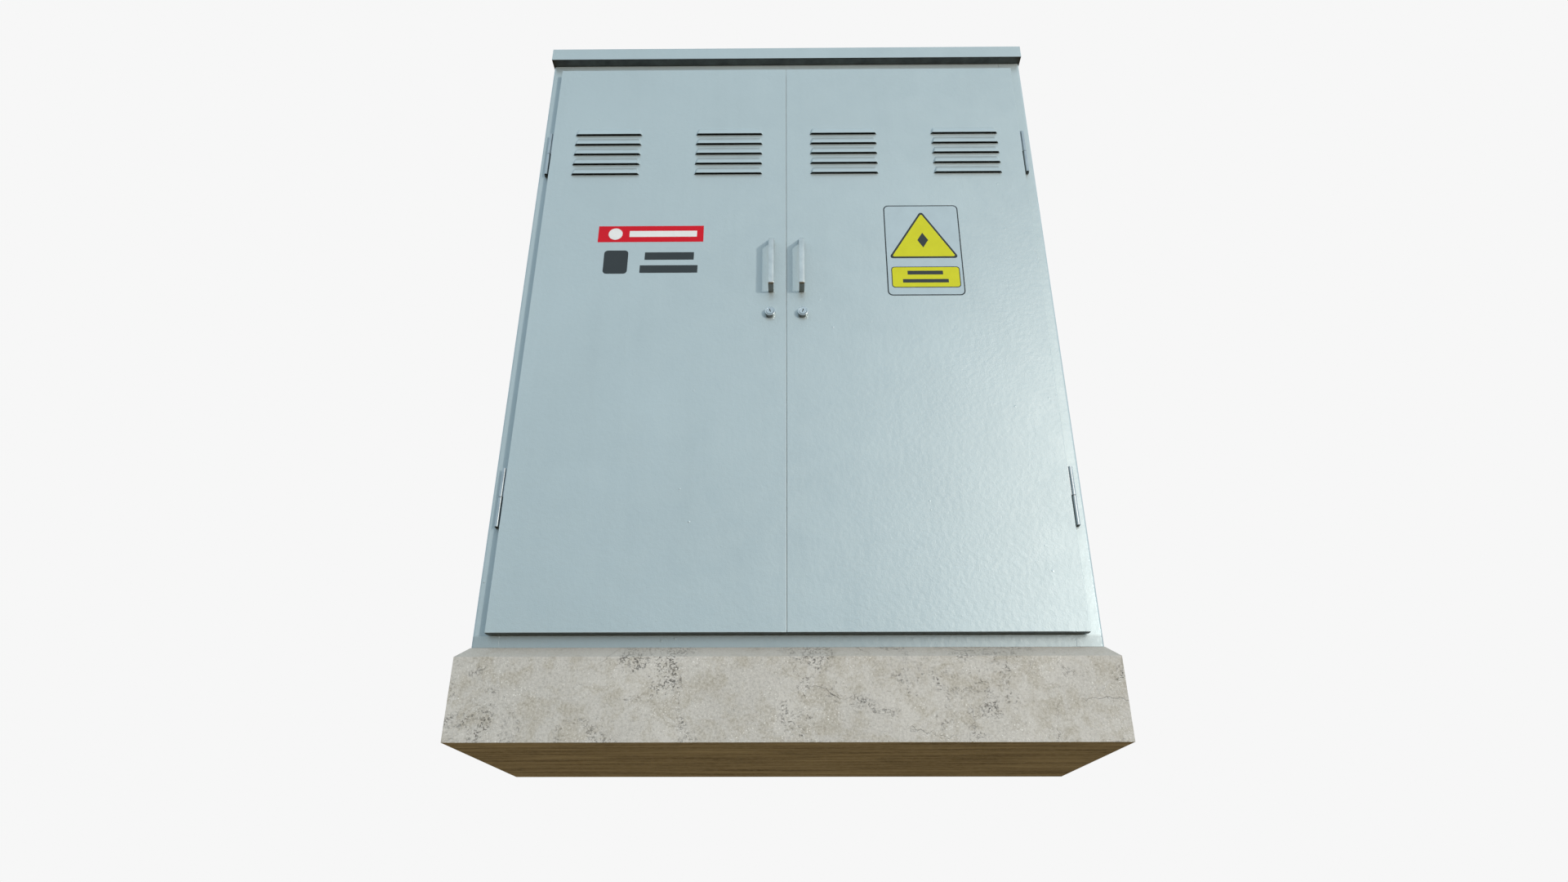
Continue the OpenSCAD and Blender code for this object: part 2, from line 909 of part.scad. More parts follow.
// Plates over the trough: two gland plates and a middle plate.
module floor_plates() {
    x1 = half_w - sheet - angle_w - 3;
    z = body_z;
    color("silver") {
        difference() {
            block([-x1, -plate_edge, z], [-gland_split, plate_edge, z + 3]);
            for (p = hv_gland_places)
                translate([p.x, p.y, z - 1]) cylinder(h = 5, r = 19);
        }
        block([-gland_split + 1, -plate_edge, z],
              [gland_split - 1, plate_edge, z + 3]);
        difference() {
            block([gland_split, -plate_edge, z], [x1, plate_edge, z + 3]);
            for (p = lv_gland_places)
                translate([p.x, p.y, z - 1]) cylinder(h = 5, r = 19);
        }
    }
}

hv_gland_places = [for (y = [-90, 0, 90]) [-480, y]];
lv_gland_places = [for (y = [-120, -40, 40, 120]) [480, y]];

// Nylon glands with their blanking discs in.
module cable_glands() {
    color("dimgray")
    for (p = concat(hv_gland_places, lv_gland_places))
        translate([p.x, p.y, body_z]) {
            translate([0, 0, -18]) cylinder(h = 20, r = 18.8);
            translate([0, 0, -8]) hex_head(25, 8);
            translate([0, 0, 3]) hex_head(25, 9);
            translate([0, 0, 12]) cylinder(h = 10, r = 19);
            translate([0, 0, 22]) hex_head(22, 14);
            translate([0, 0, 1]) cylinder(h = 12, r = 18.8);
            translate([0, 0, 36]) cylinder(h = 5, r = 15);
        }
}

// Bar of earth terminals on two feet.
module earth_bar() {
    z0 = body_z + angle_t + 90;
    y = -185;
    color("goldenrod") {
        block([410, y, z0], [560, y + 6, z0 + 30]);
        for (x = [430 : 22 : 545])
            translate([x, y, z0 + 15]) rotate([90, 0, 0]) hex_head(8, 6);
        for (x = [418, 552])
            block([x - 6, y + 6, body_z + 3], [x + 6, y + 12, z0 + 30]);
    }
}

module document_pocket() {
    x0 = 190;
    x1 = 410;
    y0 = door_front + sheet;
    y1 = y0 + 40;
    z0 = 620;
    z1 = 800;
    t = 2.5;
    color("whitesmoke")
    difference() {
        block([x0, y0, z0], [x1, y1, z1]);
        block([x0 + t, y0 + t, z0 + t], [x1 - t, y1 - t, z1 + 1]);
    }
}

// ------------------------------------------------------------ transformer

// Channel along Y under the transformer, open to the side.
module transformer_rails() {
    z0 = body_z + angle_t;
    y1 = half_d - sheet - angle_t - 1;
    color("slategray")
    for (side = ["left", "right"]) on_side(side)
        translate([0, y1, 0]) rotate([90, 0, 0])
            linear_extrude(2 * y1 - 4)
                translate([-rail_x - rail_w / 2, z0])
                    polygon([[0, 0], [rail_w, 0], [rail_w, rail_wall],
                             [rail_wall, rail_wall],
                             [rail_wall, rail_h - rail_wall],
                             [rail_w, rail_h - rail_wall], [rail_w, rail_h],
                             [0, rail_h]]);
}

clamp_ys = [core_y - core_d / 2 - clamp_d / 2 - 2,
            core_y + core_d / 2 + clamp_d / 2 + 2];

module vibration_pads() {
    color("dimgray")
    for (x = [-rail_x, rail_x], y = clamp_ys)
        translate([x, y, body_z + angle_t + rail_h])
            cylinder(h = pad_h, r = 22);
}

// Stepped section of a core limb or yoke, centred on the origin.
module stepped_section(w) {
    s = w / 2;
    polygon([[-s, -s * 0.6], [-s * 0.8, -s * 0.6], [-s * 0.8, -s * 0.8],
             [-s * 0.6, -s * 0.8], [-s * 0.6, -s], [s * 0.6, -s],
             [s * 0.6, -s * 0.8], [s * 0.8, -s * 0.8], [s * 0.8, -s * 0.6],
             [s, -s * 0.6], [s, s * 0.6], [s * 0.8, s * 0.6],
             [s * 0.8, s * 0.8], [s * 0.6, s * 0.8], [s * 0.6, s],
             [-s * 0.6, s], [-s * 0.6, s * 0.8], [-s * 0.8, s * 0.8],
             [-s * 0.8, s * 0.6], [-s, s * 0.6]]);
}

module core() {
    end = phase_pitch + core_d / 2;
    color("gray") {
        for (x = phases)
            translate([x, core_y, core_z + yoke_h / 2])
                linear_extrude(core_h - yoke_h) stepped_section(core_d);
        for (z = [core_z, core_z + core_h - yoke_h])
            block([-end, core_y - core_d / 2, z],
                  [end, core_y + core_d / 2, z + yoke_h]);
    }
}

tie_xs = [-phase_pitch / 2, phase_pitch / 2];

// Channels that hold the yokes, open away from the core.
module core_clamps() {
    x1 = phase_pitch + 75;
    t = clamp_t;
    yoke_top = core_z + core_h;
    color("steelblue")
    difference() {
        for (z = [core_z - t, yoke_top - clamp_h + t], s = [-1, 1]) {
            inner = core_y + s * (core_d / 2 + 2);
            outer = core_y + s * (core_d / 2 + 2 + clamp_d);
            along_x(-x1, x1)
                polygon([[inner, z], [outer, z], [outer, z + t],
                         [inner + s * t, z + t],
                         [inner + s * t, z + clamp_h - t],
                         [outer, z + clamp_h - t], [outer, z + clamp_h],
                         [inner, z + clamp_h]]);
        }
        for (x = tie_xs, y = clamp_ys)
            translate([x, y, core_z - 20]) cylinder(h = core_h + 40, r = 6.5);
    }
}

// Vertical tie rods with their nuts, and the bolt heads on the clamps.
module clamp_bolts() {
    z0 = core_z - clamp_t;
    z1 = core_z + core_h + clamp_t;
    color("silver") {
        for (x = tie_xs, y = clamp_ys) translate([x, y, 0]) {
            translate([0, 0, z0 - 14]) cylinder(h = z1 - z0 + 32, r = 6);
            translate([0, 0, z0 - 10]) hex_head(11, 9.9);
            translate([0, 0, z1 + 0.1]) hex_head(11, 10);
        }
        for (x = [-300, -215, -50, 50, 215, 300],
             z = [core_z - clamp_t + clamp_h / 2,
                  z1 - clamp_h / 2], s = [-1, 1])
            translate([x, core_y + s * (core_d / 2 + 2 + clamp_t), z])
                rotate([-s * 90, 0, 0]) hex_head(9, 8);
    }
}

// Ring of a winding, standing on z = 0.
module winding(r_in, r_out, h, round) {
    rotate_extrude($fn = 72)
        polygon(concat(
            [[r_in, 0]],
            arc([r_out - round, round], round, 270, 360),
            arc([r_out - round, h - round], round, 0, 90),
            [[r_in, h]]));
}

module lv_windings() {
    color("goldenrod")
    for (x = phases)
        translate([x, core_y, coil_z - 12]) winding(lv_bore_r, lv_r, lv_h, 3);
}

// Cast windings with two terminal blocks on the front of each.
module hv_windings() {
    color("firebrick")
    for (x = phases) {
        translate([x, core_y, coil_z]) winding(hv_bore_r, hv_r, coil_h, 14);
        for (z = [terminal_top, terminal_low])
            disc_y(x, z, core_y - hv_r - 12, core_y - hv_r + 6, 16);
    }
}

// Stepped blocks between the clamps and the ends of the windings.
module coil_blocks() {
    low = core_z - clamp_t + clamp_h;
    mid = core_z + core_h / 2;
    step = (lv_r + hv_bore_r) / 2;
    lv_end = mid - lv_h / 2;
    color("ivory")
    for (x = phases, s = [-1, 1], t = [0, 1])
        translate([x, core_y, mid]) mirror([0, 0, t]) translate([0, 0, -mid])
            along_x(-28, 28)
                polygon([[s * (lv_bore_r - 2), low],
                         [s * (core_d / 2 + clamp_d), low],
                         [s * (core_d / 2 + clamp_d), coil_z],
                         [s * step, coil_z], [s * step, lv_end],
                         [s * (lv_bore_r - 2), lv_end]]);
}

function terminal(i, z) = [phases[i], terminal_y, z];

// Bolted studs and the slanted rods that join the windings in delta.
module delta_links() {
    far = [0, -18, 0];
    color("goldenrod") {
        for (i = [0:2], z = [terminal_top, terminal_low])
            disc_y(phases[i], z, terminal_y - 8, core_y - hv_r - 12, 7);
        bar_between(terminal(0, terminal_top), terminal(1, terminal_low),
                    link_r);
        bar_between(terminal(1, terminal_top), terminal(2, terminal_low),
                    link_r);
        bar_between(terminal(2, terminal_top) + far,
                    terminal(0, terminal_low) + far, link_r);
        for (p = [terminal(2, terminal_top), terminal(0, terminal_low)])
            disc_y(p.x, p.z, terminal_y - 26, terminal_y - 7, 7);
    }
}

// Insulated bars from the fuses down to the windings.
module hv_links() {
    top = fuse_z0 - 34;
    color("black")
    for (i = [0:2]) {
        x0 = fuse_xs[i];
        x1 = phases[i];
        z = link_levels[i];
        y0 = fuse_y;
        y1 = terminal_y;
        path = [[x0, y0, top], [x0, y0, z], [x0, y1, z], [x1, y1, z],
                [x1, y1, terminal_top + 7]];
        for (k = [0:3]) bar_between(path[k], path[k + 1], link_r);
        for (k = [1:3]) translate(path[k]) sphere(r = link_r);
    }
}

// Copper bars from the windings up to the breaker.
module lv_busbars() {
    t = bar_t;
    w = bar_w;
    lead_y = core_y + (lv_r + lv_bore_r) / 2;
    lead_z = coil_z + coil_h + 12;
    color("orange")
    for (i = [0:2]) {
        x = phases[i];
        xt = bar_xs[i];
        z = bar_levels[i];
        z1 = lead_z + 12;
        block([x + 32, lead_y - t / 2, lead_z], [x + 32 + w, lead_y + t / 2, z1]);
        block([x + 32, lead_y - t / 2, z1 - t],
              [x + 32 + w, bar_y + t, z1]);
        block([x + 32, bar_y, z1 - t], [x + 32 + w, bar_y + t, z]);
        block([x + 32, bar_y, z - w], [xt + w / 2, bar_y + t, z]);
        block([xt - w / 2, bar_y, z - w],
              [xt + w / 2, bar_y + t, breaker_z]);
    }
}

// -------------------------------------------------------------- switchgear

// Plate with two feet that bolt to the side panels.
module mounting_plate() {
    color("gainsboro") {
        block([-plate_half_w, plate_y, plate_z0],
              [plate_half_w, plate_y + 3, plate_z1]);
        for (s = [-1, 1], z = [plate_z0 + 40, plate_z1 - 80])
            block([s > 0 ? plate_half_w - 10 : -half_w + sheet, plate_y + 3, z],
                  [s > 0 ? half_w - sheet : -plate_half_w + 10, plate_y + 7,
                   z + 40]);
    }
}

insulator_zs = [fuse_z0 + 10, fuse_z0 + fuse_len - 10];

// Ribbed post insulators, two for each fuse.
module hv_insulators() {
    r = 17;
    rib = 26;
    n = 5;
    step = insulator_len / n;
    color("firebrick")
    for (x = fuse_xs, z = insulator_zs)
        translate([x, plate_y, z]) rotate([90, 0, 0])
            rotate_extrude()
                polygon(concat(
                    [[0, 0], [rib, 0]],
                    [for (i = [0:n - 1])
                        each [[rib, i * step + 4], [r, i * step + 8],
                              [r, (i + 1) * step - 4],
                              [rib - 2, (i + 1) * step - 1]]],
                    [[rib - 2, insulator_len], [0, insulator_len]]));
}

// Cartridge fuses in their spring clips.
module hv_fuses() {
    z1 = fuse_z0 + fuse_len;
    seat = plate_y - insulator_len;
    for (x = fuse_xs) {
        color("ivory") translate([x, fuse_y, fuse_z0 + 24])
            cylinder(h = fuse_len - 48, r = fuse_r);
        color("silver") for (z = [fuse_z0 - 10, z1 - 24])
            translate([x, fuse_y, z]) cylinder(h = 34, r = fuse_r + 1.5);
        color("silver") for (z = insulator_zs)
            block([x - 16, fuse_y + fuse_r - 4, z - 12], [x + 16, seat, z + 12]);
        color("silver") translate([x, fuse_y, fuse_z0 - 34])
            cylinder(h = 26, r = 9);
    }
}

// Insulating sheet between the fuses and the breaker.
module phase_barrier() {
    color("beige") block([60, -60, plate_z0], [64, plate_y, plate_z1 - 40]);
}

// Moulded case with a recess for its toggle and terminals top and bottom.
module lv_breaker() {
    x0 = breaker_x - breaker_w / 2;
    x1 = breaker_x + breaker_w / 2;
    z1 = breaker_z + breaker_h;
    yf = plate_y - breaker_d;
    zc = breaker_z + breaker_h / 2;
    color("dimgray")
    difference() {
        union() {
            block([x0, yf + 18, breaker_z], [x1, plate_y, z1]);
            block([x0, yf + 6, breaker_z + 52], [x1, plate_y, z1 - 52]);
            block([x0 + 30, yf, zc - 52], [x1 - 30, plate_y, zc + 52]);
        }
        block([breaker_x - 13, yf - 1, zc - 34],
              [breaker_x + 13, yf + 30, zc + 34]);
        for (x = bar_xs, z = [breaker_z, z1 - 34])
            block([x - 16, yf + 10, z - 1], [x + 16, yf + 40, z + 35]);
        translate([breaker_x, toggle_y, zc]) rotate([0, 90, 0])
            translate([0, 0, -18])
                cylinder(h = 36, r = toggle_pin_r + 0.06);
    }
    color("orange")
    for (x = bar_xs) {
        block([x - 14, yf + 41, z1 + tiny], [x + 14, yf + 46, z1 + 26]);
        translate([x, yf + 41, z1 + 15]) rotate([90, 0, 0]) hex_head(8, 6);
    }
}

// Lever that turns about X between on, at the top, and off.
module breaker_toggle() {
    zc = breaker_z + breaker_h / 2;
    color("black")
    translate([breaker_x, toggle_y, zc]) rotate([-toggle_tilt, 0, 0]) {
        rotate([0, 90, 0]) translate([0, 0, -11]) cylinder(h = 22, r = 11);
        rotate([0, 90, 0]) translate([0, 0, -17])
            cylinder(h = 34, r = toggle_pin_r);
        block([-10, -46, -5], [10, 0, 5]);
    }
}

// ---------------------------------------------------------------- drawing

plinth();
cable_ducts();
anchor_bolts();
base_frame();
color("lightsteelblue") front_post();  // left_front_post
color("lightsteelblue") on_side("right") front_post();  // right_front_post
top_front_rail();
bottom_front_rail();
centre_post();
color("lightsteelblue") side_panel();  // left_side_panel
color("lightsteelblue") on_side("right") side_panel();  // right_side_panel
rear_panel();
cabinet_bolts();
roof_cover();
hinge_frame_knuckles();
hinge_pins();
earth_bosses();
floor_plates();
cable_glands();
transformer_rails();
vibration_pads();
core();
core_clamps();
clamp_bolts();
lv_windings();
hv_windings();
coil_blocks();
delta_links();
hv_links();
lv_busbars();
mounting_plate();
hv_insulators();
hv_fuses();
phase_barrier();
lv_breaker();
breaker_toggle();
earth_bar();
document_pocket();
left_sign();
right_sign();
for (side = ["left", "right"]) {
    on_side(side) door();
    on_side(side) door_knuckles();
    on_side(side) handle();
    on_side(side) lock_barrel();
    on_side(side) lock_plug();
    on_side(side) lock_case();
    on_side(side) upper_rod();
    on_side(side) lower_rod();
    on_side(side) rod_guides();
    on_side(side) door_gasket();
}
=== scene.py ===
"""Looks of a pad-mounted transformer kiosk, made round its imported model.

Lengths are in metres: +X is to the right seen from the doors, +Y to the rear and +Z up.
"""

import json
import math

import bmesh
import bpy
import numpy as np
from mathutils import Euler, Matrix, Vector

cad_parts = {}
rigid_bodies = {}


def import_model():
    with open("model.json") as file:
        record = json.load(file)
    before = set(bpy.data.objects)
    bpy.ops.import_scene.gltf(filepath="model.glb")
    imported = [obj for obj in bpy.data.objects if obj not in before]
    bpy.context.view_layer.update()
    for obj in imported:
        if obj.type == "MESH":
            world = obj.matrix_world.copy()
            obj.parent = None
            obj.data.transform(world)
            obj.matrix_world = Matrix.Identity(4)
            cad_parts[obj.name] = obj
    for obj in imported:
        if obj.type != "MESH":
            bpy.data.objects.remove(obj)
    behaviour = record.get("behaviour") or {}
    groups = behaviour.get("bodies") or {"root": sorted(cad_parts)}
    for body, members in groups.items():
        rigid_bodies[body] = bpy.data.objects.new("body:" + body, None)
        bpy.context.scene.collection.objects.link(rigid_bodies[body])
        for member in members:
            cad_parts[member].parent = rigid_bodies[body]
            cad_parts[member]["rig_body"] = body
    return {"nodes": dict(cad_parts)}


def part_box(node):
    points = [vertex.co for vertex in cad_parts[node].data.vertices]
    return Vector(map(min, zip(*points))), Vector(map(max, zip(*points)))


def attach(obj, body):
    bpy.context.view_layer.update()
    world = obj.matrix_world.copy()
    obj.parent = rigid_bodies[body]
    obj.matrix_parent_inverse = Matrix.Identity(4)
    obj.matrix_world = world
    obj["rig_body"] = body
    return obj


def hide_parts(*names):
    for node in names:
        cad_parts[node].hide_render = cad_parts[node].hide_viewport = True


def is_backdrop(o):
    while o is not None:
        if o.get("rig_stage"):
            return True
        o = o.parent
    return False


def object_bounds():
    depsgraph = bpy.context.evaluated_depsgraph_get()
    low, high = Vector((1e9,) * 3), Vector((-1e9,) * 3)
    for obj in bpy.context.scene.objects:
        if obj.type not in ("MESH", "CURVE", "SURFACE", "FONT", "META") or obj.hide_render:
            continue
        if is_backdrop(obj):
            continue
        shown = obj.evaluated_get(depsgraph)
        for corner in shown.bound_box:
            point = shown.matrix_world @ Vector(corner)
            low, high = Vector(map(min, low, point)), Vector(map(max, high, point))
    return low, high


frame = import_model()

bl_info = {
    "name": "Transformer Kiosk",
    "version": (1, 0, 0),
    "blender": (4, 5, 0),
    "location": "View3D > Sidebar > Kiosk",
    "description": "Sheet steel, concrete, coils and studio for a pad-mounted transformer",
    "category": "Object",
}

MM = 0.001
# Points nearer than this are one point, in a new mesh and in a copy of a packed one.
MERGE = 2e-6
COPY_MERGE = 8e-6
# Faces of a copy that turn less than this are one face.
FLAT_ENOUGH = math.radians(0.6)
SIDES = {"left": -1, "right": 1}
CAD_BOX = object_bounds()


def span(node, axis):
    """Lowest and highest place of a node along one axis."""
    low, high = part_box(node)
    return low[axis], high[axis]


X, Y, Z = 0, 1, 2
DOOR_X = span("left_door", X)
DOOR_Y = span("left_door", Y)
DOOR_Z = span("left_door", Z)
REAR_X = span("rear_panel", X)
REAR_Z = span("rear_panel", Z)
SIDE_Y = span("left_side_panel", Y)
SIDE_X = span("left_side_panel", X)


# ------------------------------------------------------------------ settings


def length(text, value, top=1.0):
    """A length property with its description and default."""
    return bpy.props.FloatProperty(
        name=text.split(":")[0], description=text.split(":")[1].strip(),
        default=value, min=0.0, max=top, unit="LENGTH", precision=5)


def angle(text, degrees):
    """An angle property with its description and default."""
    return bpy.props.FloatProperty(
        name=text.split(":")[0], description=text.split(":")[1].strip(),
        default=math.radians(degrees), subtype="ANGLE", unit="ROTATION")


def colour(text, value, top=1.0):
    """A colour property with its description and default."""
    return bpy.props.FloatVectorProperty(
        name=text.split(":")[0], description=text.split(":")[1].strip(),
        default=value, min=0.0, max=top, size=3, subtype="COLOR")


class KioskSizes(bpy.types.PropertyGroup):
    """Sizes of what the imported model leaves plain."""

    sheet: length("Sheet: thickness of the sheet steel", 2 * MM)
    fold: length("Fold: outer radius of a fold in the sheet", 1.0 * MM)
    lip: length("Lip: width of a door's inner lip", 12 * MM)
    door_depth: length("Door depth: depth of a door's tray", 17 * MM)
    louvre_length: length("Louvre length: length of one louvre at its mouth", 171 * MM)
    louvre_height: length("Louvre height: height of one louvre", 21.5 * MM)
    louvre_pitch: length("Louvre pitch: distance from one louvre to the next", 32.4 * MM)
    louvre_out: length("Louvre depth: how far a louvre stands out", 7 * MM)
    louvre_top: length("Louvre top: height of the highest louvre's top edge", 1.5275, 3.0)
    louvre_low_top: length("Low louvre top: the same, on the side panels", 0.460, 3.0)
    arris: length("Arris: width of the plinth's worn edges", 3.5 * MM)


class KioskColours(bpy.types.PropertyGroup):
    """Colours of the finishes."""

    enamel: colour("Enamel: paint of the cabinet", (0.415, 0.500, 0.520))
    concrete: colour("Concrete: the plinth", (0.49, 0.48, 0.445))
    soil: colour("Soil: stain on the plinth's underside", (0.74, 0.68, 0.54))
    red: colour("Red: band of the left sign", (0.56, 0.006, 0.018))
    yellow: colour("Yellow: fields of the right sign", (0.56, 0.57, 0.022))
    ink: colour("Ink: dark marks of the signs", (0.035, 0.045, 0.050))
    resin: colour("Resin: cast windings and insulators", (0.20, 0.030, 0.018))
    copper: colour("Copper: bars and links", (0.72, 0.34, 0.20))


class KioskStage(bpy.types.PropertyGroup):
    """Camera and lights."""

    camera_place: bpy.props.FloatVectorProperty(
        name="Camera", description="Place of the camera",
        default=(0.0100, -2.1276, -0.2705), size=3, subtype="TRANSLATION", unit="LENGTH")
    camera_pitch: angle("Pitch: how far the camera looks up", 25.884)
    camera_yaw: angle("Yaw: how far the camera looks to the left", 0.4845)
    lens: bpy.props.FloatProperty(
        name="Lens", description="Focal length on a 36 mm sensor", default=21.827, unit="CAMERA")
    key_angle: angle("Key angle: how far the key light stands to the right of the doors' normal", 39.8)
    key: bpy.props.FloatProperty(name="Key", description="Strength of the key light", default=1.6, min=0)
    soft: bpy.props.FloatProperty(
        name="Soft box", description="Power of the soft box", default=29.0, min=0, unit="POWER")
    sky: colour("Sky: light from above", (0.74, 0.897, 1.02), 2.0)
    ground: colour("Ground: light from below", (0.150, 0.105, 0.050))
    backdrop: colour("Backdrop: what is seen behind the object", (0.93, 0.93, 0.93))


# -------------------------------------------------------------- mesh helpers


def quads(rows, columns, close_rows=False, close_columns=False):
    """Faces of a grid of rows x columns points, as an array of four corners each.

    Corner (i, j) has the number i * columns + j, and a closed side wraps to its first line.
    """
    i = np.arange(rows if close_rows else rows - 1)
    j = np.arange(columns if close_columns else columns - 1)
    i, j = (a.ravel() for a in np.meshgrid(i, j, indexing="ij"))
    down, along = (i + 1) % rows, (j + 1) % columns
    here, below = i * columns, down * columns
    return np.stack([here + j, here + along, below + along, below + j], axis=1)


def surface(points, close_rows=False, close_columns=False):
    """Vertices and faces of a (rows, columns, 3) array of points."""
    rows, columns = points.shape[:2]
    return points.reshape(-1, 3), quads(rows, columns, close_rows, close_columns)


def joined(*parts):
    """Several (vertices, faces) pairs as one pair."""
    starts = np.cumsum([0] + [len(v) for v, _ in parts])
    faces = [list(map(int, f + s)) for (_, fs), s in zip(parts, starts) for f in np.asarray(fs)]
    return np.concatenate([v for v, _ in parts]), faces


def carried(section, path, side):
    """A closed section carried along a path that lies in one plane.

    The section's first number goes along side, which is the plane's normal, and its second across
    the path: point (i, j) is path_i + a_j * side + b_j * across_i / cos(half the turn there).
    """
    path = np.array(path, float)
    side = np.array(side, float)
    step = np.diff(path, axis=0)
    step /= np.linalg.norm(step, axis=1)[:, None]
    ahead = np.vstack([step, step[-1:]])
    behind = np.vstack([step[:1], step])
    mean = ahead + behind
    mean /= np.linalg.norm(mean, axis=1)[:, None]
    across = np.cross(side, mean)
    stretch = 1 / np.maximum(0.3, (mean * ahead).sum(1))
    a, b = np.array(section, float).T
    sideways = a[None, :, None] * side
    outwards = (b[None, :] * stretch[:, None])[..., None] * across[:, None]
    return surface(path[:, None] + sideways + outwards, close_columns=True)


def bead(centre, reach, radius, count=24):
    """A weld bead across x: a flat half round, rippled along its length.

    Point (i, j) is centre + x_i + r_i * (cos t_j * up - sin t_j * back), with r_i = radius * (round
    end) * (1 + a ripple of 12 waves), and t_j from 0 to 180 degrees.
    """
    i = np.linspace(-1, 1, 4 * count)
    size = radius * np.sqrt(np.clip(1 - i ** 8, 0, 1)) * (1 + 0.10 * np.sin(12 * np.pi * i))
    t = np.linspace(0, np.pi, 10)
    x = np.repeat(i[:, None] * reach / 2, len(t), axis=1)
    y = 0.7 * size[:, None] * np.sin(t)
    z = size[:, None] * np.cos(t)
    return surface(np.stack([x, y, z], axis=2) + np.array(centre, float))


def arc(centre, radius, start, end, count=6):
    """Points of an arc in a plane, with its angles in degrees."""
    t = np.radians(np.linspace(start, end, count))
    return np.stack([centre[0] + radius * np.cos(t), centre[1] + radius * np.sin(t)], axis=1)


def rounded_outline(width, height, radius, count=4):
    """Outline of a rectangle with round corners, centred on zero."""
    w, h = width / 2 - radius, height / 2 - radius
    return np.vstack([arc((sx * w, sy * h), radius, a, a + 90, count)
                      for sx, sy, a in ((1, 1, 0), (-1, 1, 90), (-1, -1, 180), (1, -1, 270))])


def shaded(mesh, angle=35):
    """Smooth shading, with open edges and edges sharper than the angle left sharp."""
    mesh.shade_smooth()
    mesh.set_sharp_from_angle(angle=math.radians(angle))
    work = bmesh.new()
    work.from_mesh(mesh)
    for edge in work.edges:
        if edge.is_boundary:
            edge.smooth = False
    work.to_mesh(mesh)
    work.free()


def piece(name, shape, body, paints, stands_for=None, towards=None, solid=None, caps=False):
    """A finished piece from (vertices, faces).

    Doubles are merged and faces turned outwards, or towards a direction on an open sheet, whose
    thickness then goes the other way. paints is one paint's name or a list of them, and stands_for
    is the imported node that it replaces.
    """
    vertices, faces = shape
    mesh = bpy.data.meshes.new(name)
    mesh.from_pydata(np.asarray(vertices).tolist(), [], [list(map(int, f)) for f in faces])
    work = bmesh.new()
    work.from_mesh(mesh)
    bmesh.ops.remove_doubles(work, verts=work.verts, dist=MERGE)
    if caps:
        bmesh.ops.holes_fill(work, edges=work.edges, sides=0)
    bmesh.ops.recalc_face_normals(work, faces=work.faces)
    if towards is not None:
        total = sum((f.normal * f.calc_area() for f in work.faces), start=work.faces[:][0].normal * 0)
        if total.dot(towards) < 0:
            bmesh.ops.reverse_faces(work, faces=work.faces)
    work.to_mesh(mesh)
    work.free()
    shaded(mesh)
    made = bpy.data.objects.new(name, mesh)
    bpy.context.scene.collection.objects.link(made)
    if solid:
        wall = made.modifiers.new("Thickness", "SOLIDIFY")
        wall.thickness, wall.offset = solid, -1
        wall.use_even_offset = True
        made.modifiers.new("Flat faces first", "WEIGHTED_NORMAL").keep_sharp = True
    for paint in [paints] if isinstance(paints, str) else paints:
        mesh.materials.append(PAINTS[paint])
    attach(made, body)
    if stands_for:
        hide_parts(stands_for)
    return made


def rounded_copy(node, name, width, paints, segments=2):
    """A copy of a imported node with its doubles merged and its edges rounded."""
    source = frame["nodes"][node]
    vertices = np.zeros(len(source.data.vertices) * 3)
    source.data.vertices.foreach_get("co", vertices)
    corners = np.zeros(len(source.data.loops), int)
    source.data.loops.foreach_get("vertex_index", corners)
    shape = (vertices.reshape(-1, 3), corners.reshape(-1, 3))
    made = piece(name, shape, source["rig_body"], paints, node)
    work = bmesh.new()
    work.from_mesh(made.data)
    bmesh.ops.remove_doubles(work, verts=work.verts, dist=COPY_MERGE)
    bmesh.ops.dissolve_limit(work, angle_limit=FLAT_ENOUGH, verts=work.verts, edges=work.edges)
    work.to_mesh(made.data)
    work.free()
    shaded(made.data)
    if width:
        edges = made.modifiers.new("Edges", "BEVEL")
        edges.width, edges.segments = width, segments
        edges.limit_method, edges.angle_limit = "ANGLE", math.radians(30)
        edges.harden_normals = True
    return made


def paint_faces(made, index, test):
    """Gives the faces whose centres (an N x 3 array) pass a test another material."""
    faces = made.data.polygons
    centres = np.zeros(len(faces) * 3)
    faces.foreach_get("center", centres)
    numbers = np.zeros(len(faces), int)
    faces.foreach_get("material_index", numbers)
    numbers[test(centres.reshape(-1, 3))] = index
    faces.foreach_set("material_index", numbers)


# ------------------------------------------------------------ shader helpers


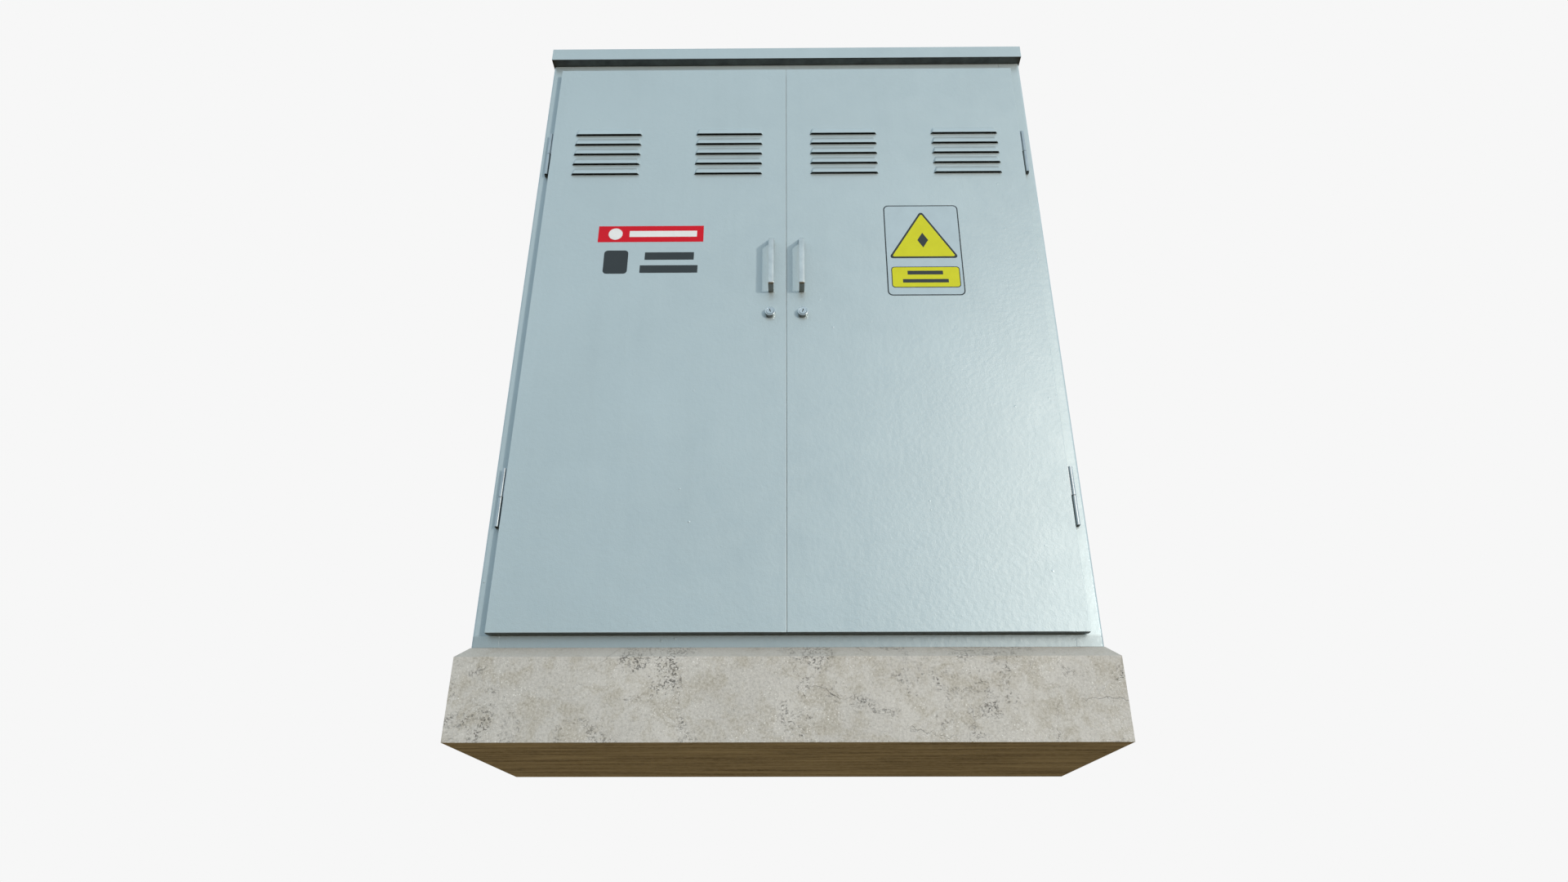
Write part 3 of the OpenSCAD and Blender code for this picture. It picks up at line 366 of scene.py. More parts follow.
class Shader:
    """Adds nodes to a shader tree; any input is a value or another node's output."""

    def __init__(self, tree):
        self.tree = tree

    def add(self, kind, inputs=None, **settings):
        """A node with its settings, then its inputs by name or number."""
        node = self.tree.nodes.new(kind)
        for key, value in settings.items():
            setattr(node, key, value)
        for key, value in (inputs or {}).items():
            self.put(value, node.inputs[key])
        return node

    def put(self, value, socket):
        """Joins an output to a socket, or sets the socket's own value."""
        if isinstance(value, bpy.types.NodeSocket):
            self.tree.links.new(value, socket)
        elif isinstance(value, (tuple, list)) and len(value) == 3 and socket.type == "RGBA":
            socket.default_value = (*value, 1.0)
        else:
            socket.default_value = value

    def place(self, scale=(1, 1, 1)):
        """Object coordinates, scaled."""
        at = self.add("ShaderNodeTexCoord").outputs["Object"]
        return self.add("ShaderNodeMapping", {"Vector": at, "Scale": scale}).outputs[0]

    def part(self, vector, axis):
        """One part of a vector."""
        return self.add("ShaderNodeSeparateXYZ", {0: vector}).outputs[axis]

    def facing_up(self):
        """The surface normal's upward part, from -1 to 1."""
        return self.part(self.add("ShaderNodeNewGeometry").outputs["Normal"], Z)

    def noise(self, vector, scale, detail=3.0, rough=0.55, warp=0.0):
        """Fractal noise from 0 to 1."""
        return self.add("ShaderNodeTexNoise", {"Vector": vector, "Scale": scale, "Detail": detail,
                                               "Roughness": rough, "Distortion": warp}).outputs[0]

    def cells(self, vector, scale, feature="F1"):
        """Voronoi cells: the node, for its distance and colour."""
        return self.add("ShaderNodeTexVoronoi", {"Vector": vector, "Scale": scale}, feature=feature)

    def ramp(self, value, low, high, first=0.0, last=1.0):
        """A value's way from low to high, as first to last."""
        return self.add("ShaderNodeMapRange", {"Value": value, "From Min": low, "From Max": high,
                                               "To Min": first, "To Max": last}).outputs[0]

    def sum(self, kind, a, b=0.0):
        """A sum of two values, of the kind that Math names."""
        return self.add("ShaderNodeMath", {0: a, 1: b}, operation=kind).outputs[0]

    def mix(self, share, a, b):
        """Two colours mixed."""
        return self.add("ShaderNodeMix", {0: share, 6: a, 7: b}, data_type="RGBA").outputs[2]

    def bump(self, height, distance, strength=1.0):
        """A normal from a height of 0 to 1 over a distance."""
        return self.add("ShaderNodeBump", {"Strength": strength, "Distance": distance,
                                           "Height": height}).outputs[0]

    def use(self, group, **values):
        """A node group with its inputs by name."""
        node = self.tree.nodes.new("ShaderNodeGroup")
        node.node_tree = group
        for key, value in values.items():
            self.put(value, node.inputs[key])
        return node.outputs


GROUPS = {}


def group(name, inputs, output):
    """A decorator: its function fills the node group, from the inputs, and returns the output."""
    def build(fill):
        tree = bpy.data.node_groups.new(name, "ShaderNodeTree")
        for key, value in inputs.items():
            socket = tree.interface.new_socket(key, in_out="INPUT", socket_type="NodeSocketFloat")
            socket.default_value = value
        tree.interface.new_socket(output, in_out="OUTPUT", socket_type="NodeSocketFloat")
        start = tree.nodes.new("NodeGroupInput")
        end = tree.nodes.new("NodeGroupOutput")
        result = fill(Shader(tree), {key: start.outputs[key] for key in inputs})
        tree.links.new(result, end.inputs[output])
        GROUPS[name] = tree
        return fill
    return build


def make_groups():
    """The effects that more than one material uses."""

    @group("Clouds", {"Scale": 5.0, "Contrast": 1.0}, "Value")
    def clouds(s, given):
        at = s.place()
        wide = s.noise(at, given["Scale"], 4, 0.6, 0.4)
        apart = s.sum("SUBTRACT", wide, 0.5)
        scaled = s.sum("MULTIPLY", apart, given["Contrast"])
        return s.ramp(s.sum("ADD", scaled, 0.5), 0.25, 0.75)

    @group("Orange Peel", {"Scale": 420.0, "Nibs": 0.5}, "Height")
    def orange_peel(s, given):
        at = s.place()
        skin = s.noise(at, given["Scale"], 2, 0.5)
        soft = s.noise(at, 85.0, 2, 0.5)
        nib = s.ramp(s.cells(at, 34.0).outputs["Distance"], 0.0, 0.11, 1.0, 0.0)
        where = s.ramp(s.noise(at, 7.0, 2, 0.5), 0.56, 0.66)
        nibs = s.sum("MULTIPLY", s.sum("MULTIPLY", nib, where), given["Nibs"])
        return s.sum("ADD", s.sum("ADD", s.sum("MULTIPLY", skin, 0.35), soft), nibs)

    @group("Dust", {"Amount": 0.5, "Scale": 14.0}, "Mask")
    def dust(s, given):
        lying = s.ramp(s.facing_up(), 0.3, 0.95)
        grain = s.ramp(s.noise(s.place(), given["Scale"], 5, 0.65), 0.35, 0.7, 0.35, 1.0)
        return s.sum("MULTIPLY", s.sum("MULTIPLY", lying, grain), given["Amount"])

    # Painted shade: a mask of the faces that look down, which the finishes darken as if little light reached
    # them.
    @group("Underside", {"Amount": 0.9}, "Mask")
    def underside(s, given):
        facing_down_shade = s.ramp(s.facing_up(), -0.45, -0.9)
        grain = s.ramp(s.noise(s.place(), 30.0, 3, 0.6), 0.3, 0.7, 0.85, 1.0)
        return s.sum("MULTIPLY", s.sum("MULTIPLY", facing_down_shade, grain), given["Amount"])

    @group("Streaks", {"Scale": 1.0, "Low": 0.4, "High": 0.7}, "Value")
    def streaks(s, given):
        at = s.add("ShaderNodeVectorMath", {0: s.place((26, 26, 1.1)), "Scale": given["Scale"]},
                   operation="SCALE").outputs[0]
        return s.ramp(s.noise(at, 1.0, 4, 0.6, 0.3), given["Low"], given["High"])

    @group("Brushed", {"Across": 900.0, "Along": 25.0}, "Value")
    def brushed(s, given):
        at = s.place()
        flat = s.sum("MULTIPLY", s.sum("ADD", s.part(at, X), s.part(at, Y)), given["Across"])
        tall = s.sum("MULTIPLY", s.part(at, Z), given["Along"])
        at = s.add("ShaderNodeCombineXYZ", {0: flat, 1: tall, 2: 0.0}).outputs[0]
        return s.noise(at, 1.0, 3, 0.6)


def material(name, fill, **fixed):
    """A material on one Principled BSDF; fill returns its varying inputs by name."""
    made = bpy.data.materials.new(name)
    made.use_nodes = True
    tree = made.node_tree
    shader = tree.nodes["Principled BSDF"]
    s = Shader(tree)
    for key, value in {**fixed, **fill(s)}.items():
        s.put(value, shader.inputs[key])
    return made


def shade(rgb, factor):
    """A colour made lighter or darker."""
    return tuple(min(1.0, c * factor) for c in rgb)


def enamel(name, rgb, rough=0.38, peel=420.0, dusty=0.5, flakes=0.35):
    """Sprayed enamel with metal flakes: clouded colour, orange peel, sparse nibs, dust on top, painted shade
    below the doors and on faces that look down.
    """
    def fill(s):
        cloud = s.use(GROUPS["Clouds"], Scale=2.6, Contrast=1.2)["Value"]
        mottle = s.use(GROUPS["Clouds"], Scale=19.0, Contrast=1.0)["Value"]
        run = s.use(GROUPS["Streaks"], Scale=1.0, Low=0.45, High=0.8)["Value"]
        base = s.mix(cloud, shade(rgb, 0.955), shade(rgb, 1.035))
        base = s.mix(s.sum("MULTIPLY", mottle, 0.35), base, shade(rgb, 1.07))
        base = s.mix(s.sum("MULTIPLY", run, 0.10), base, shade(rgb, 0.78))
        base = s.mix(s.use(GROUPS["Dust"], Amount=dusty, Scale=14.0)["Mask"], base, (0.42, 0.39, 0.33))
        # Painted shade: the enamel below the doors' bottom edge is darker, standing in for the shade under
        # the doors' overhang.
        painted_shade_below_doors = s.ramp(s.part(s.place(), Z), DOOR_Z[0] + 1 * MM, DOOR_Z[0] - 4 * MM, 0.0, 0.27)
        base = s.mix(painted_shade_below_doors, base, shade(rgb, 0.10))
        # Painted shade: faces that look down are darkened almost to black.
        base = s.mix(s.use(GROUPS["Underside"], Amount=0.9)["Mask"], base, shade(rgb, 0.04))
        height = s.use(GROUPS["Orange Peel"], Scale=peel, Nibs=1.6)["Height"]
        return {"Base Color": base, "Roughness": s.ramp(mottle, 0, 1, rough - 0.05, rough + 0.06),
                "Normal": s.bump(height, 0.50 * MM)}
    return material(name, fill, Metallic=flakes)


def metal(name, rgb, rough=0.35, spread=0.12, across=900.0, along=25.0, depth=0.02):
    """Bare or plated metal with a brushed grain, a clouded sheen and painted shade on faces that look down.
    """
    def fill(s):
        grain = s.use(GROUPS["Brushed"], Across=across, Along=along)["Value"]
        cloud = s.use(GROUPS["Clouds"], Scale=35.0, Contrast=1.0)["Value"]
        base = s.mix(cloud, shade(rgb, 0.82), shade(rgb, 1.08))
        # Painted shade: faces that look down, such as a handle's lower leg, are darkened.
        base = s.mix(s.use(GROUPS["Underside"], Amount=0.65)["Mask"], base, shade(rgb, 0.08))
        shine = s.sum("MULTIPLY", s.sum("ADD", grain, cloud), 0.5)
        gloss = s.ramp(shine, 0.2, 0.8, rough - spread / 2, rough + spread / 2)
        return {"Base Color": base, "Roughness": gloss, "Normal": s.bump(grain, depth * MM)}
    return material(name, fill, Metallic=1.0)


def moulded(name, rgb, rough=0.45, spread=0.15, scale=600.0, depth=0.03, dusty=0.4, **fixed):
    """Moulded plastic, rubber or resin: fine grain, clouded gloss, a little dust."""
    def fill(s):
        cloud = s.use(GROUPS["Clouds"], Scale=22.0, Contrast=1.0)["Value"]
        base = s.mix(cloud, shade(rgb, 0.85), shade(rgb, 1.12))
        base = s.mix(s.use(GROUPS["Dust"], Amount=dusty, Scale=30.0)["Mask"], base, (0.36, 0.34, 0.30))
        grain = s.noise(s.place(), scale, 3, 0.6)
        return {"Base Color": base, "Roughness": s.ramp(cloud, 0, 1, rough - spread / 2, rough + spread / 2),
                "Normal": s.bump(grain, depth * MM)}
    return material(name, fill, Metallic=0.0, **fixed)


def banded(name, rgb, dark, pitch, stretch, rough=0.5, depth=0.15, metallic=0.0):
    """Thin layers side by side, such as laminations or wound tape; stretch picks their direction."""
    def fill(s):
        at = s.place(stretch)
        wave = s.add("ShaderNodeTexWave", {"Vector": at, "Scale": 1 / pitch / 6.2832, "Distortion": 0.6,
                                           "Detail": 2.0, "Detail Scale": 1.5},
                     bands_direction="DIAGONAL").outputs[1]
        cloud = s.use(GROUPS["Clouds"], Scale=16.0, Contrast=1.2)["Value"]
        base = s.mix(s.ramp(wave, 0.1, 0.6), dark, rgb)
        base = s.mix(s.sum("MULTIPLY", cloud, 0.45), base, dark)
        return {"Base Color": base, "Roughness": s.ramp(cloud, 0, 1, rough - 0.08, rough + 0.10),
                "Normal": s.bump(wave, depth * MM)}
    return material(name, fill, Metallic=metallic)


def cast_face(s, at, rgb, mottle, fine):
    """Concrete's mottled face with pale specks."""
    broad = s.use(GROUPS["Clouds"], Scale=6.0, Contrast=2.2)["Value"]
    base = s.mix(broad, shade(rgb, 0.90), shade(rgb, 1.05))
    stain = s.ramp(mottle, 0.46, 0.60)
    base = s.mix(s.sum("MULTIPLY", stain, 0.70), base, (rgb[0] * 0.68, rgb[1] * 0.64, rgb[2] * 0.55))
    base = s.mix(s.ramp(fine, 0.40, 0.72, 0.0, 0.75), base, shade(rgb, 1.32))
    base = s.mix(s.ramp(fine, 0.44, 0.26, 0.0, 0.65), base, shade(rgb, 0.58))
    speck = s.ramp(s.noise(at, 300.0, 3, 0.7), 0.60, 0.66)
    field = s.ramp(s.noise(at, 13.0, 5, 0.65), 0.44, 0.60)
    return s.mix(s.sum("MULTIPLY", s.sum("MULTIPLY", speck, field), 0.85), base, (0.92, 0.92, 0.88))


def pits(s, at):
    """A mask of small pits that keep to a few clusters."""
    pit = s.ramp(s.noise(s.place((1.0, 1.0, 1.15)), 210.0, 4, 0.7), 0.47, 0.42)
    cluster = s.ramp(s.noise(at, 7.0, 8, 0.74, 0.8), 0.53, 0.62)
    return s.sum("MULTIPLY", pit, cluster)


def cracks(s, at):
    """A mask of hairline cracks: edges of bent cells, here and there."""
    stray = s.add("ShaderNodeTexNoise", {"Vector": at, "Scale": 24.0, "Detail": 5.0}).outputs[1]
    stray = s.add("ShaderNodeVectorMath", {0: stray, "Scale": 0.06}, operation="SCALE").outputs[0]
    bent = s.add("ShaderNodeVectorMath", {0: at, 1: stray}).outputs[0]
    edge = s.cells(bent, 6.5, "DISTANCE_TO_EDGE").outputs["Distance"]
    crack = s.ramp(edge, 0.0, 0.005, 1.0, 0.0)
    return s.sum("MULTIPLY", crack, s.ramp(s.noise(at, 4.6, 3, 0.6), 0.56, 0.62))


def earth(s, at, soil):
    """Soil that clings in long streaks, with pale grit."""
    streak = s.noise(s.place((2.6, 38.0, 1.0)), 1.0, 8, 0.74, 0.4)
    grit = s.noise(at, 70.0, 5, 0.7)
    base = s.mix(s.ramp(streak, 0.36, 0.66), shade(soil, 0.42), shade(soil, 1.65))
    return s.mix(s.ramp(grit, 0.42, 0.72, 0.0, 0.55), base, shade(soil, 1.9))


def concrete(rgb, soil):
    """Cast concrete: mottled, pitted and cracked, dusty on top, with a painted highlight along its bevelled
    edges, soiled below.
    """
    def fill(s):
        at = s.place()
        mottle = s.noise(at, 21.0, 8, 0.72, 0.5)
        fine = s.noise(at, 190.0, 6, 0.75)
        pit, crack = pits(s, at), cracks(s, at)
        base = cast_face(s, at, rgb, mottle, fine)
        base = s.mix(s.sum("MULTIPLY", pit, 0.80), base, shade(rgb, 0.24))
        base = s.mix(s.sum("MULTIPLY", crack, 0.35), base, shade(rgb, 0.36))
        up = s.facing_up()
        # Painted highlight: the bevelled band between the chamfer and the front, picked out by which way it
        # faces, is lightened.
        bevelled = s.sum("MULTIPLY", s.ramp(up, 0.06, 0.14), s.ramp(up, 0.52, 0.42))
        base = s.mix(s.ramp(up, 0.55, 0.66, 0.0, 0.7), base, (rgb[0] * 0.76, rgb[1] * 0.74, rgb[2] * 0.71))
        base = s.mix(s.sum("MULTIPLY", bevelled, 0.5), base, shade(rgb, 1.35))
        base = s.mix(s.ramp(up, -0.5, -0.9), base, earth(s, at, soil))
        high = s.sum("ADD", s.sum("MULTIPLY", fine, 0.9), s.sum("MULTIPLY", mottle, 0.6))
        high = s.sum("SUBTRACT", high, s.sum("ADD", pit, crack))
        return {"Base Color": base, "Roughness": s.ramp(fine, 0.3, 0.7, 0.80, 0.97),
                "Normal": s.bump(high, 1.2 * MM, 0.9)}
    return material("Cast concrete", fill, **{"Specular IOR Level": 0.15})


def printed(name, rgb, rough=0.38):
    """Printed film: even colour, faint mottle and wear."""
    def fill(s):
        cloud = s.use(GROUPS["Clouds"], Scale=30.0, Contrast=0.8)["Value"]
        base = s.mix(cloud, shade(rgb, 0.94), shade(rgb, 1.05))
        height = s.use(GROUPS["Orange Peel"], Scale=300.0, Nibs=0.4)["Height"]
        return {"Base Color": base, "Roughness": s.ramp(cloud, 0, 1, rough - 0.04, rough + 0.08),
                "Normal": s.bump(height, 0.05 * MM)}
    return material(name, fill, **{"Specular IOR Level": 0.15})


PAINTS = {}


def make_materials(colours):
    """Every finish of the object, by its own name."""
    make_groups()
    c = {key: tuple(getattr(colours, key)) for key in KioskColours.__annotations__}
    PAINTS.update(
        enamel=enamel("Cabinet enamel", c["enamel"]),
        inner_enamel=enamel("Frame primer", (0.105, 0.12, 0.13), 0.52, 500.0, flakes=0.0),
        clamp_enamel=enamel("Clamp enamel", (0.045, 0.115, 0.19), 0.42, 500.0, flakes=0.0),
        concrete=concrete(c["concrete"], c["soil"]),
        duct=moulded("Duct plastic", (0.42, 0.12, 0.035), 0.5),
        weld=metal("Weld", (0.36, 0.35, 0.34), 0.5, 0.2, 400.0, 400.0),
        zinc=metal("Zinc plate", (0.60, 0.61, 0.60), 0.42, 0.16, 300.0, 300.0),
        hinge=metal("Hinge steel", (0.42, 0.46, 0.47), 0.34),
        handle=metal("Handle metal", (0.57, 0.60, 0.58), 0.34, 0.10, 1400.0, 18.0),
        lock=metal("Lock metal", (0.54, 0.58, 0.58), 0.26, 0.10, 500.0, 500.0),
        sheet=metal("Galvanised sheet", (0.52, 0.54, 0.55), 0.45, 0.2, 60.0, 60.0),
        rubber=moulded("Black rubber", (0.018, 0.018, 0.019), 0.7),
        strip=moulded("Pale seal strip", (0.62, 0.66, 0.66), 0.5),
        nylon=moulded("Black nylon", (0.02, 0.02, 0.022), 0.5),
        case=moulded("Breaker case", (0.028, 0.029, 0.032), 0.45),
        toggle=moulded("Toggle plastic", (0.012, 0.012, 0.013), 0.25),
        pocket=moulded("Pocket plastic", (0.60, 0.61, 0.60), 0.35),
        resin=moulded("Cast resin", c["resin"], 0.28, 0.12, 60.0, 0.10),
        glaze=moulded("Fuse glaze", (0.68, 0.65, 0.56), 0.16, 0.08, 60.0, 0.02),
        sleeve=moulded("Shrunk sleeve", (0.022, 0.022, 0.022), 0.42),
        barrier=moulded("Fibre sheet", (0.56, 0.49, 0.33), 0.5),
        board=banded("Pressed board", (0.50, 0.34, 0.17), (0.36, 0.23, 0.10), 2 * MM, (0, 0, 1)),
        wrap=banded("Wound tape", (0.60, 0.42, 0.20), (0.38, 0.24, 0.10), 18 * MM, (0, 0, 1)),
        core=banded("Laminations", (0.17, 0.175, 0.18), (0.05, 0.05, 0.055), 1.2 * MM, (0, 1, 0), 0.45, 0.2,
                    metallic=0.6),
        copper=metal("Copper", c["copper"], 0.32, 0.2, 200.0, 200.0),
        red=printed("Sign red", c["red"]),
        yellow=printed("Sign yellow", c["yellow"]),
        ink=printed("Sign ink", c["ink"]),
        pale=printed("Sign pale", (0.72, 0.74, 0.74)),
        # Painted reflection: the sign ground is the enamel colour made a little bluer, standing in for the
        # sky that the enamel's flakes reflect.
        clear=printed("Sign ground", tuple(a * b for a, b in zip(c["enamel"], (0.95, 1.0, 1.06)))),
    )


# ----------------------------------------------------------- louvred sheets

# How much narrower a louvre is at its top, at each end, and how long its rounded ends are.
LOUVRE_TAPER = 6 * MM
LOUVRE_END = 5 * MM
# Middles of the banks of louvres.
DOOR_BANKS = [-0.456, -0.146]
REAR_BANKS = [-0.456, -0.146, 0.146, 0.456]


class Louvres:
    """Banks of louvres on a sheet, in the sheet's own x and z."""

    def __init__(self, sizes, centres, top, count=5):
        self.sizes, self.centres, self.top, self.count = sizes, centres, top, count
        self.half = sizes.louvre_length / 2
        self.taper = LOUVRE_TAPER
        self.end = LOUVRE_END

    def tops(self):
        """Heights of the louvres' top edges."""
        return [self.top - i * self.sizes.louvre_pitch for i in range(self.count)]

    def lines(self, low_x, high_x, low_z, high_z):
        """Grid lines: close together where a louvre bends, close round it, and a pair at each cut."""
        bend = np.linspace(0, self.taper + self.end, 12)
        apart = 0.5 * MM
        xs = [low_x, high_x]
        for c in self.centres:
            left, right = c - self.half, c + self.half
            xs += [left - apart, *(left + bend), c, *(right - bend), right + apart]
        share = np.array([0, 0.05, 0.1, 0.16, 0.24, 0.34, 0.46, 0.60, 0.74, 0.88, 1.0])
        cut = 1e-7
        zs = [low_z, high_z]
        for t in self.tops():
            mouth = t - self.sizes.louvre_height - cut
            zs += [t + apart, *(t - share * self.sizes.louvre_height), mouth, mouth - apart]
        return np.unique(xs), np.unique(zs)[::-1]

    def height(self, x, z):
        """How far the sheet stands out: depth * rise(v) * rise(end distance), where v goes from 0 at a
        louvre's top edge to 1 at its mouth, and rise(t) = 1 - (1 - t)^1.7, eased at its foot."""
        def rise(t):
            t = np.clip(t, 0, 1)
            ease = np.clip(t / 0.08, 0, 1)
            return (1 - (1 - t) ** 1.7) * ease

        total = np.zeros_like(x)
        for c in self.centres:
            for t in self.tops():
                v = (t - z) / self.sizes.louvre_height
                inside = (v >= 0) & (v <= 1 + 1e-9)
                reach = self.half - self.taper * (1 - v)
                end = rise((reach - np.abs(x - c)) / self.end)
                total += np.where(inside, rise(v) * end, 0.0)
        return total * self.sizes.louvre_out


def louvred_sheet(louvres, low_x, high_x, low_z, high_z, rim):
    """A sheet in x, z and height, with its rim folded back.

    The sheet is a grid whose height comes from its louvres. Each louvre's mouth is a pair of lines
    with no faces between them. The rim is the grid's border carried outwards and backwards along a
    profile of (outset, depth) pairs, mitred at the corners.
    """
    xs, zs = louvres.lines(low_x, high_x, low_z, high_z)
    grid_x, grid_z = np.meshgrid(xs, zs)
    points = np.stack([grid_x, grid_z, louvres.height(grid_x, grid_z)], axis=2)
    vertices, faces = surface(points)
    open_rows = np.where(np.abs(np.diff(zs)) < 1e-6)[0]
    rows = np.repeat(np.arange(len(zs) - 1), len(xs) - 1)
    faces = faces[~np.isin(rows, open_rows)]
    top, bottom = points[0], points[-1][::-1]
    right, left = points[:, -1], points[:, 0][::-1]
    border = np.vstack([top[:-1], right[:-1], bottom[:-1], left[:-1]])
    out = np.stack([np.isclose(border[:, 0], high_x) * 1.0 - np.isclose(border[:, 0], low_x),
                    np.isclose(border[:, 1], high_z) * 1.0 - np.isclose(border[:, 1], low_z),
                    np.zeros(len(border))], axis=1)
    outset, depth = np.array(rim, float).T
    loops = border[None] + outset[:, None, None] * out[None]
    loops[..., 2] -= depth[:, None]
    return joined((vertices, faces), surface(loops, close_columns=True))


def tray_rim(fold, depth, lip):
    """Profile of a tray's edge: a fold, a wall, a second fold and a lip that turns inwards."""
    front = arc((0, fold), fold, -90, 0, 6)
    back = arc((0, depth - fold), fold, 0, 90, 6)
    return np.vstack([front, back, [[fold - lip, depth]]])


# ----------------------------------------------------------------- operators


class PieceOperator:
    """What every operator here shares."""

    bl_options = {"REGISTER", "UNDO"}

    @property
    def sizes(self):
        return bpy.context.scene.kiosk_sizes


class KIOSK_OT_materials(PieceOperator, bpy.types.Operator):
    """Makes the shared shader groups and every finish"""

    bl_idname = "kiosk.materials"
    bl_label = "Finishes"

    def execute(self, context):
        make_materials(context.scene.kiosk_colours)
        return {"FINISHED"}


class KIOSK_OT_plinth(PieceOperator, bpy.types.Operator):
    """Builds the concrete plinth, its ducts and its anchors"""

    bl_idname = "kiosk.plinth"
    bl_label = "Plinth"

    def execute(self, context):
        rounded_copy("plinth", "concrete_plinth", self.sizes.arris, "concrete", 3)
        rounded_copy("cable_ducts", "duct_sleeves", 0.8 * MM, "duct")
        rounded_copy("anchor_bolts", "plinth_anchors", 0.5 * MM, "zinc")
        return {"FINISHED"}


class KIOSK_OT_frame(PieceOperator, bpy.types.Operator):
    """Builds the posts, rails and base frame"""

    bl_idname = "kiosk.frame"
    bl_label = "Frame"

    def execute(self, context):
        sheets = "left_front_post", "right_front_post", "top_front_rail", "centre_post", "bottom_front_rail"
        for node in sheets:
            rounded_copy(node, node + "_sheet", 0.6 * MM, "enamel")
        for node in ("base_frame", "transformer_rails"):
            rounded_copy(node, node + "_steel", 0.8 * MM, "inner_enamel")
        return {"FINISHED"}


class KIOSK_OT_panels(PieceOperator, bpy.types.Operator):
    """Builds the rear and side panels with their louvres"""

    bl_idname = "kiosk.panels"
    bl_label = "Panels"

    def execute(self, context):
        z0, z1 = REAR_Z
        sizes = self.sizes
        small = 0.8 * MM
        wall = sizes.sheet * 0.9
        edge = [(0, 0), (small * 0.7, small * 0.3), (small, small), (small, wall)]
        banks = Louvres(sizes, REAR_BANKS, sizes.louvre_top)
        v, f = louvred_sheet(banks, REAR_X[0] + small, REAR_X[1] - small, z0 + small, z1 - small, edge)
        face = span("left_side_panel", Y)[1] + sizes.sheet
        rear = np.stack([-v[:, 0], face + v[:, 2], v[:, 1]], axis=1)
        piece("rear_louvred_panel", (rear, f), "cabinet", "enamel", "rear_panel",
              towards=(0, 1, 0), solid=wall)
        middle = sum(SIDE_Y) / 2
        half = (SIDE_Y[1] - SIDE_Y[0]) / 2
        bank = half / 2 - 8 * MM
        banks = Louvres(sizes, [-bank, bank], sizes.louvre_low_top)
        v, f = louvred_sheet(banks, small - half, half - small, z0 + small, z1 - small, edge)
        for side, sign in SIDES.items():
            plane = abs(SIDE_X[0]) - sizes.louvre_out
            points = np.stack([sign * (plane + v[:, 2]), middle + sign * v[:, 0], v[:, 1]], axis=1)
            piece(side + "_louvred_panel", (points, f), "cabinet", "enamel",
                  side + "_side_panel", towards=(sign, 0, 0), solid=wall)
        return {"FINISHED"}


class KIOSK_OT_roof(PieceOperator, bpy.types.Operator):
    """Builds the roof and the cabinet's bolts"""

    bl_idname = "kiosk.roof"
    bl_label = "Roof"

    def execute(self, context):
        rounded_copy("roof_cover", "folded_roof", 1.6 * MM, "enamel", 3)
        rounded_copy("cabinet_bolts", "panel_bolts", 0.5 * MM, "zinc")
        rounded_copy("earth_bosses", "earth_studs", 0.6 * MM, "zinc")
        return {"FINISHED"}


class KIOSK_OT_doors(PieceOperator, bpy.types.Operator):
    """Builds the two door trays, their louvres and their seals"""

    bl_idname = "kiosk.doors"
    bl_label = "Doors"

    def execute(self, context):
        sizes = self.sizes
        fold = sizes.fold
        banks = Louvres(sizes, DOOR_BANKS, sizes.louvre_top)
        v, f = louvred_sheet(banks, DOOR_X[0] + fold, DOOR_X[1] - fold, DOOR_Z[0] + fold, DOOR_Z[1] - fold,
                             tray_rim(fold, sizes.door_depth, sizes.lip))
        face = DOOR_Y[1] - sizes.door_depth
        for side, sign in SIDES.items():
            points = np.stack([-sign * v[:, 0], face - v[:, 2], v[:, 1]], axis=1)
            piece(side + "_door_tray", (points, f), side + "_door", "enamel",
                  side + "_door", towards=(0, -1, 0), solid=sizes.sheet)
            if side == "left":
                ends = DOOR_Z[0] + 3 * MM, DOOR_Z[1] - 3 * MM
                edge = [(DOOR_X[1], face + 2.2 * MM, z) for z in ends]
                strip = carried(rounded_outline(0.6 * MM, 2 * MM, 0.25 * MM), edge, (1, 0, 0))
                piece("left_meeting_strip", strip, "left_door", "strip", caps=True)
            rounded_copy(side + "_door_gasket", side + "_door_seal", 0.8 * MM, "rubber")
        return {"FINISHED"}


class KIOSK_OT_hinges(PieceOperator, bpy.types.Operator):
    """Builds the hinges"""

    bl_idname = "kiosk.hinges"
    bl_label = "Hinges"

    def execute(self, context):
        rounded_copy("hinge_frame_knuckles", "fixed_knuckles", 0.5 * MM, "hinge")
        rounded_copy("hinge_pins", "hinge_pin_set", 0.3 * MM, "zinc")
        for side in SIDES:
            rounded_copy(side + "_door_knuckles", side + "_door_hinge_knuckles", 0.5 * MM,
                         "hinge")
        return {"FINISHED"}


HANDLE_THICK = 3 * MM
HANDLE_BEND = 6 * MM
HANDLE_SLOPE = math.radians(33.7)
WELD_RADIUS = 2.4 * MM


